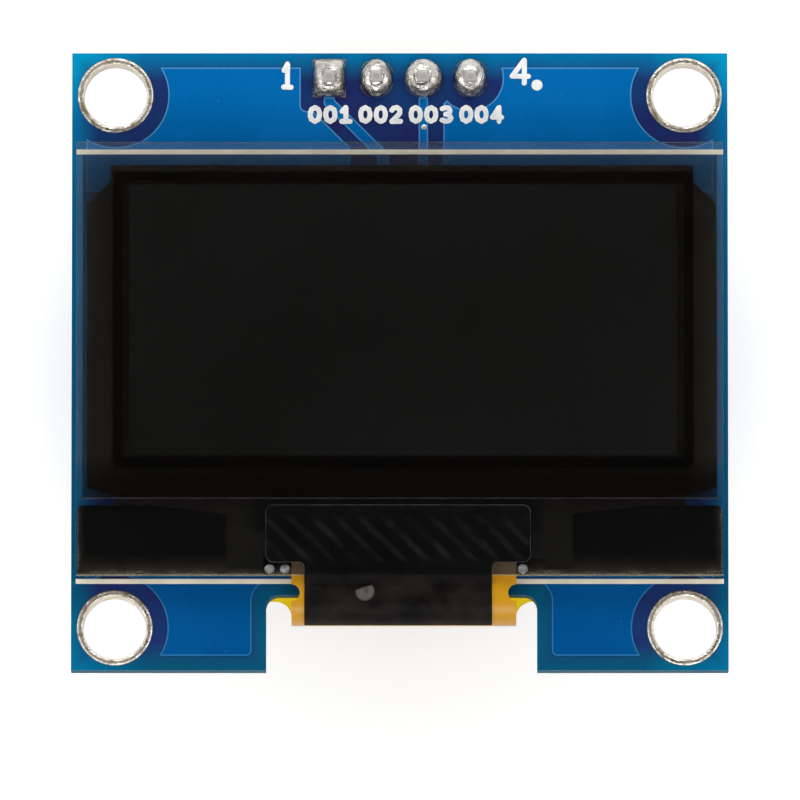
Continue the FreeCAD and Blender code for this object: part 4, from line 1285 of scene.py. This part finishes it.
@dataclass
class Ledge:
    """What shows through the ledge of the front glass."""

    def build(self) -> None:
        """Dresses the backing, the coat, the chip and the glue."""
        backing = Backing("ledge_foam", *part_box("ledge_backing")).make()
        tape_low, tape_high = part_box("shading_tape")
        coat = Coat("ledge_coat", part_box("ledge_coat")[1].y, (tape_high.x - tape_low.x) / 2,
                    (tape_high.x + tape_low.x) / 2).make()
        chip = Plain("chip_silicon", seen(34, 32, 34), seen(44, 41, 42),
                     0.2, 0.5, 0.001, 0.5).make()
        glue = Thin("clear_glue", seen(226, 227, 228), seen(168, 167, 168), 0.8, 0.25, 0.2).make()
        paint_node("ledge_backing", backing)
        paint_node("ledge_coat", coat)
        paint_node("driver_chip", chip)
        self.beads(glue)

    def beads(self, glue: bpy.types.Material) -> None:
        """Rebuilds each glue bead as a soft lump.

        Args:
            glue: The material.
        """
        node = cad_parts["glue_beads"]
        low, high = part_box("glue_beads")
        radius = (high.y - low.y) / 2
        lefts = sorted({round(v.co.x, 5) for v in node.data.vertices})
        starts = [lefts[0]]
        for left in lefts:
            if left > starts[-1] + 2.2 * radius:
                starts.append(left)
        draw = random.Random(7)
        shape = bmesh.new()
        for start in starts:
            lump = bmesh.ops.create_icosphere(shape, subdivisions=3, radius=radius)["verts"]
            tall = (high.z - low.z) / 2 / radius
            bmesh.ops.scale(shape, vec=(1.0, draw.uniform(0.85, 1.0), tall), verts=lump)
            centre = Vector((start + radius, (low.y + high.y) / 2, (low.z + high.z) / 2))
            bmesh.ops.translate(shape, vec=centre, verts=lump)
        new_piece("glue_lumps", shape, [glue], ("glue_beads",))


@dataclass
class Tail:
    """The ribbon, its solder joints and the tape over it."""

    joints: int = 30
    joint_width: float = 0.34
    copper_reach: float = 2.4
    spot_x: float = -1.88
    spot_y: float = -12.6
    tape_lift: float = 0.42

    def build(self) -> None:
        """Builds the ribbon from its fold to its joints."""
        low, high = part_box("ribbon_solder")
        pitch = (high.x - low.x - self.joint_width * MM) / (self.joints - 1)
        glass_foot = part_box("front_glass")[0].y
        film = Ribbon("amber_ribbon", pitch, (low.x + high.x) / 2,
                      low.y - self.copper_reach * MM, glass_foot).make()
        new_piece("folded_ribbon", merged_copy("ribbon"), [film], ("ribbon",), 30.0)
        solder = Metal("tail_solder", seen(205, 204, 202), seen(160, 157, 152),
                       0.2, 0.12, 0.02).make()
        eased_piece("tail_joints", "ribbon_solder", Slot.SOLDER, solder, 0.05, 3, 60.0)
        tape_low, tape_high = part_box("shading_tape")
        spot = Vector((self.spot_x, self.spot_y, 0.0)) * MM
        black = Tape("shading_tape_black", spot, tape_high.y).make()
        # Painted glint: the tape's rounded rims are partly pale grey, where its edges would catch
        # the light.
        rim = Plain("tape_edge_glint", seen(112, 110, 107), seen(36, 35, 35), 0.35, 0.12, 0.01).make()
        shape = merged_copy("shading_tape")
        self.trim(shape, tape_low.z + self.tape_lift * MM)
        for face in round_edges(shape, 0.025, 2, 60.0, upright=False):
            face.material_index = 1
        new_piece("tape_over_ribbon", shape, [black, rim], ("shading_tape",), 30.0)

    def trim(self, shape: bmesh.types.BMesh, level: float) -> None:
        """Cuts the tape off above a level, so that the fold shows below it.

        Args:
            shape: The tape, which is changed.
            level: The height of the cut in metres.
        """
        everything = [*shape.verts, *shape.edges, *shape.faces]
        made = bmesh.ops.bisect_plane(shape, geom=everything, plane_co=(0, 0, level),
                                      plane_no=(0, 0, 1), clear_inner=True)
        rim = [item for item in made["geom_cut"] if isinstance(item, bmesh.types.BMEdge)]
        bmesh.ops.holes_fill(shape, edges=rim)


@dataclass
class RearParts:
    """The small parts behind the board."""

    row: int = 6
    end_share: float = 0.22

    def build(self) -> None:
        """Builds the chip parts and the regulator."""
        ends = Metal("chip_ends", seen(196, 195, 192), seen(150, 148, 144), 0.3, 0.1, 0.01).make()
        tan = Plain("capacitor_body", seen(152, 118, 84), seen(138, 104, 72),
                    0.45, 0.1, 0.01).make()
        dark = Plain("resistor_body", seen(26, 26, 28), seen(36, 36, 38), 0.35, 0.1, 0.01).make()
        for index in range(1, self.row + 1):
            self.chip_part(f"capacitor_{index}", [tan, ends])
            self.chip_part(f"resistor_{index}", [dark, ends])
        epoxy = Plain("regulator_epoxy", seen(24, 24, 25), seen(34, 34, 35),
                      0.55, 0.08, 0.012).make()
        tin = Metal("regulator_tin", seen(192, 191, 188), seen(150, 148, 144),
                    0.3, 0.1, 0.01).make()
        eased_piece("regulator", "regulator_body", Slot.EPOXY, epoxy, 0.1)
        eased_piece("regulator_feet", "regulator_leads", Slot.LEAD, tin, 0.02)

    def chip_part(self, node: str, materials: list[bpy.types.Material]) -> None:
        """Rebuilds a chip part with rounded edges and bright ends.

        Args:
            node: The CAD node.
            materials: The body's material, then the ends'.
        """
        low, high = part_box(node)
        shape = merged_copy(node)
        round_edges(shape, 0.018, 2)
        length = high.x - low.x
        for face in shape.faces:
            share = (face.calc_center_median().x - low.x) / length
            face.material_index = 1 if min(share, 1 - share) < self.end_share else 0
        new_piece(f"{node}_dressed", shape, materials, (node,))


@dataclass
class Studio:
    """The floor, the soft light and the camera."""

    elevation: float = 83.4
    distance: float = 900.0
    pixels_per_mm: float = 18.55
    picture: float = 800.0
    aim_x: float = 0.01
    aim_y: float = -2.11
    sensor: float = 36.0
    floor_gap: float = 0.2
    floor_size: float = 6000.0
    floor_lift: float = 0.34
    world_level: float = 0.6
    zenith_level: float = 0.03
    zenith_from: float = 0.55
    zenith_to: float = 0.97
    lamps: tuple = (("lamp_top", (0.0, 0.42, 0.38), (0.5, 0.3), 1.5),
                    ("lamp_front", (0.0, -0.45, 0.36), (0.5, 0.3), 1.3),
                    ("lamp_left", (-0.45, -0.05, 0.3), (0.3, 0.4), 0.7),
                    ("lamp_right", (0.45, -0.05, 0.3), (0.3, 0.4), 0.7))

    def build(self) -> None:
        """Sets up everything that isn't part of the object."""
        self.camera()
        self.floor()
        self.world()
        for lamp in self.lamps:
            self.lamp(*lamp)

    def aim(self, name: str, data: bpy.types.ID, place: Vector,
            back: Vector) -> bpy.types.Object:
        """Adds a camera or a lamp, turned to look along a line.

        Args:
            name: Its name.
            data: The camera or the light.
            place: Where it stands, in metres.
            back: The direction behind it.

        Returns:
            The new object.
        """
        aimed = bpy.data.objects.new(name, data)
        aimed.location = place
        aimed.rotation_mode = "QUATERNION"
        aimed.rotation_quaternion = (-back).to_track_quat("-Z", "Y")
        bpy.context.scene.collection.objects.link(aimed)
        return aimed

    def camera(self) -> None:
        """Places the camera on the photograph's line of sight."""
        lens = bpy.data.cameras.new("camera")
        lens.sensor_width = self.sensor
        lens.lens = self.sensor * self.pixels_per_mm * self.distance / self.picture
        lens.clip_start = 0.01
        lens.clip_end = 20.0
        tilt = math.radians(self.elevation)
        back = Vector((0.0, -math.cos(tilt), math.sin(tilt)))
        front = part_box("circuit_board")[1].z
        aim = Vector((self.aim_x * MM, self.aim_y * MM, front))
        place = aim + back * self.distance * MM
        bpy.context.scene.camera = self.aim("camera", lens, place, back)

    def floor(self) -> None:
        """A plain white floor below the pins, which is clear from beneath."""
        tree = Tree("floor_white")
        tree.dress(Base_Color=(0.93, 0.93, 0.93), Roughness=0.9, Specular_IOR_Level=0.0)
        shown = tree.math("MULTIPLY", tree.looked_at(), self.floor_lift)
        tree.dress(Emission_Color=(1.0, 1.0, 1.0), Emission_Strength=shown)
        clear = tree.node("ShaderNodeBsdfTransparent", {})
        side = tree.node("ShaderNodeNewGeometry", {})
        mixed = tree.node("ShaderNodeMixShader", {0: side.outputs["Backfacing"]})
        tree.links.new(tree.surface.outputs[0], mixed.inputs[1])
        tree.links.new(clear.outputs[0], mixed.inputs[2])
        tree.links.new(mixed.outputs[0], tree.nodes["Material Output"].inputs[0])
        low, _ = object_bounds()
        shape = bmesh.new()
        bmesh.ops.create_grid(shape, x_segments=1, y_segments=1, size=self.floor_size * MM / 2)
        bmesh.ops.translate(shape, vec=(0, 0, low.z - self.floor_gap * MM), verts=shape.verts)
        show("floor", shape, [tree.material])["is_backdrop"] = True

    def world(self) -> None:
        """Soft light from all round, dimmer overhead, seen as a white backdrop."""
        world = bpy.data.worlds.new("studio")
        bpy.context.scene.world = world
        world.use_nodes = True
        tree = Nodes(world.node_tree)
        sky = tree.node("ShaderNodeTexCoord", {}).outputs["Generated"]
        height = tree.node("ShaderNodeSeparateXYZ", {0: sky}).outputs["Z"]
        fade = tree.span(height, self.zenith_from, self.zenith_to, 1.0, self.zenith_level)
        level = tree.span(tree.looked_at(), 0.0, 1.0, self.world_level, 1.0)
        back = tree.nodes["Background"]
        tree.put(back.inputs["Strength"], tree.math("MULTIPLY", level, fade))
        tree.put(back.inputs["Color"], (1.0, 1.0, 1.0))

    def lamp(self, name: str, place: tuple[float, float, float], size: tuple[float, float],
             power: float) -> None:
        """Adds a soft lamp that points at the object.

        Args:
            name: The lamp's name.
            place: Where it stands, in metres.
            size: Its width and height, in metres.
            power: Its power in watts.
        """
        light = bpy.data.lights.new(name, "AREA")
        light.shape = "RECTANGLE"
        light.size, light.size_y = size
        light.energy = power
        self.aim(name, light, Vector(place), Vector(place))


def corners() -> list[list[float]]:
    """The shown object's lowest and highest corner as plain lists."""
    return [[float(value) for value in corner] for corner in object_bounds()]


def main() -> None:
    """Dresses the module, then sets up the studio."""
    logging.basicConfig(level=logging.INFO, format="%(name)s: %(message)s")
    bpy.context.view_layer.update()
    bpy.context.scene.view_settings.view_transform = "Standard"
    for part in (Board(), TestPoint(), Holes(), Header(), Print(), Panel(), Ledge(), Tail(),
                 RearParts()):
        part.build()
    Studio().build()


if __name__ == "__main__":
    main()
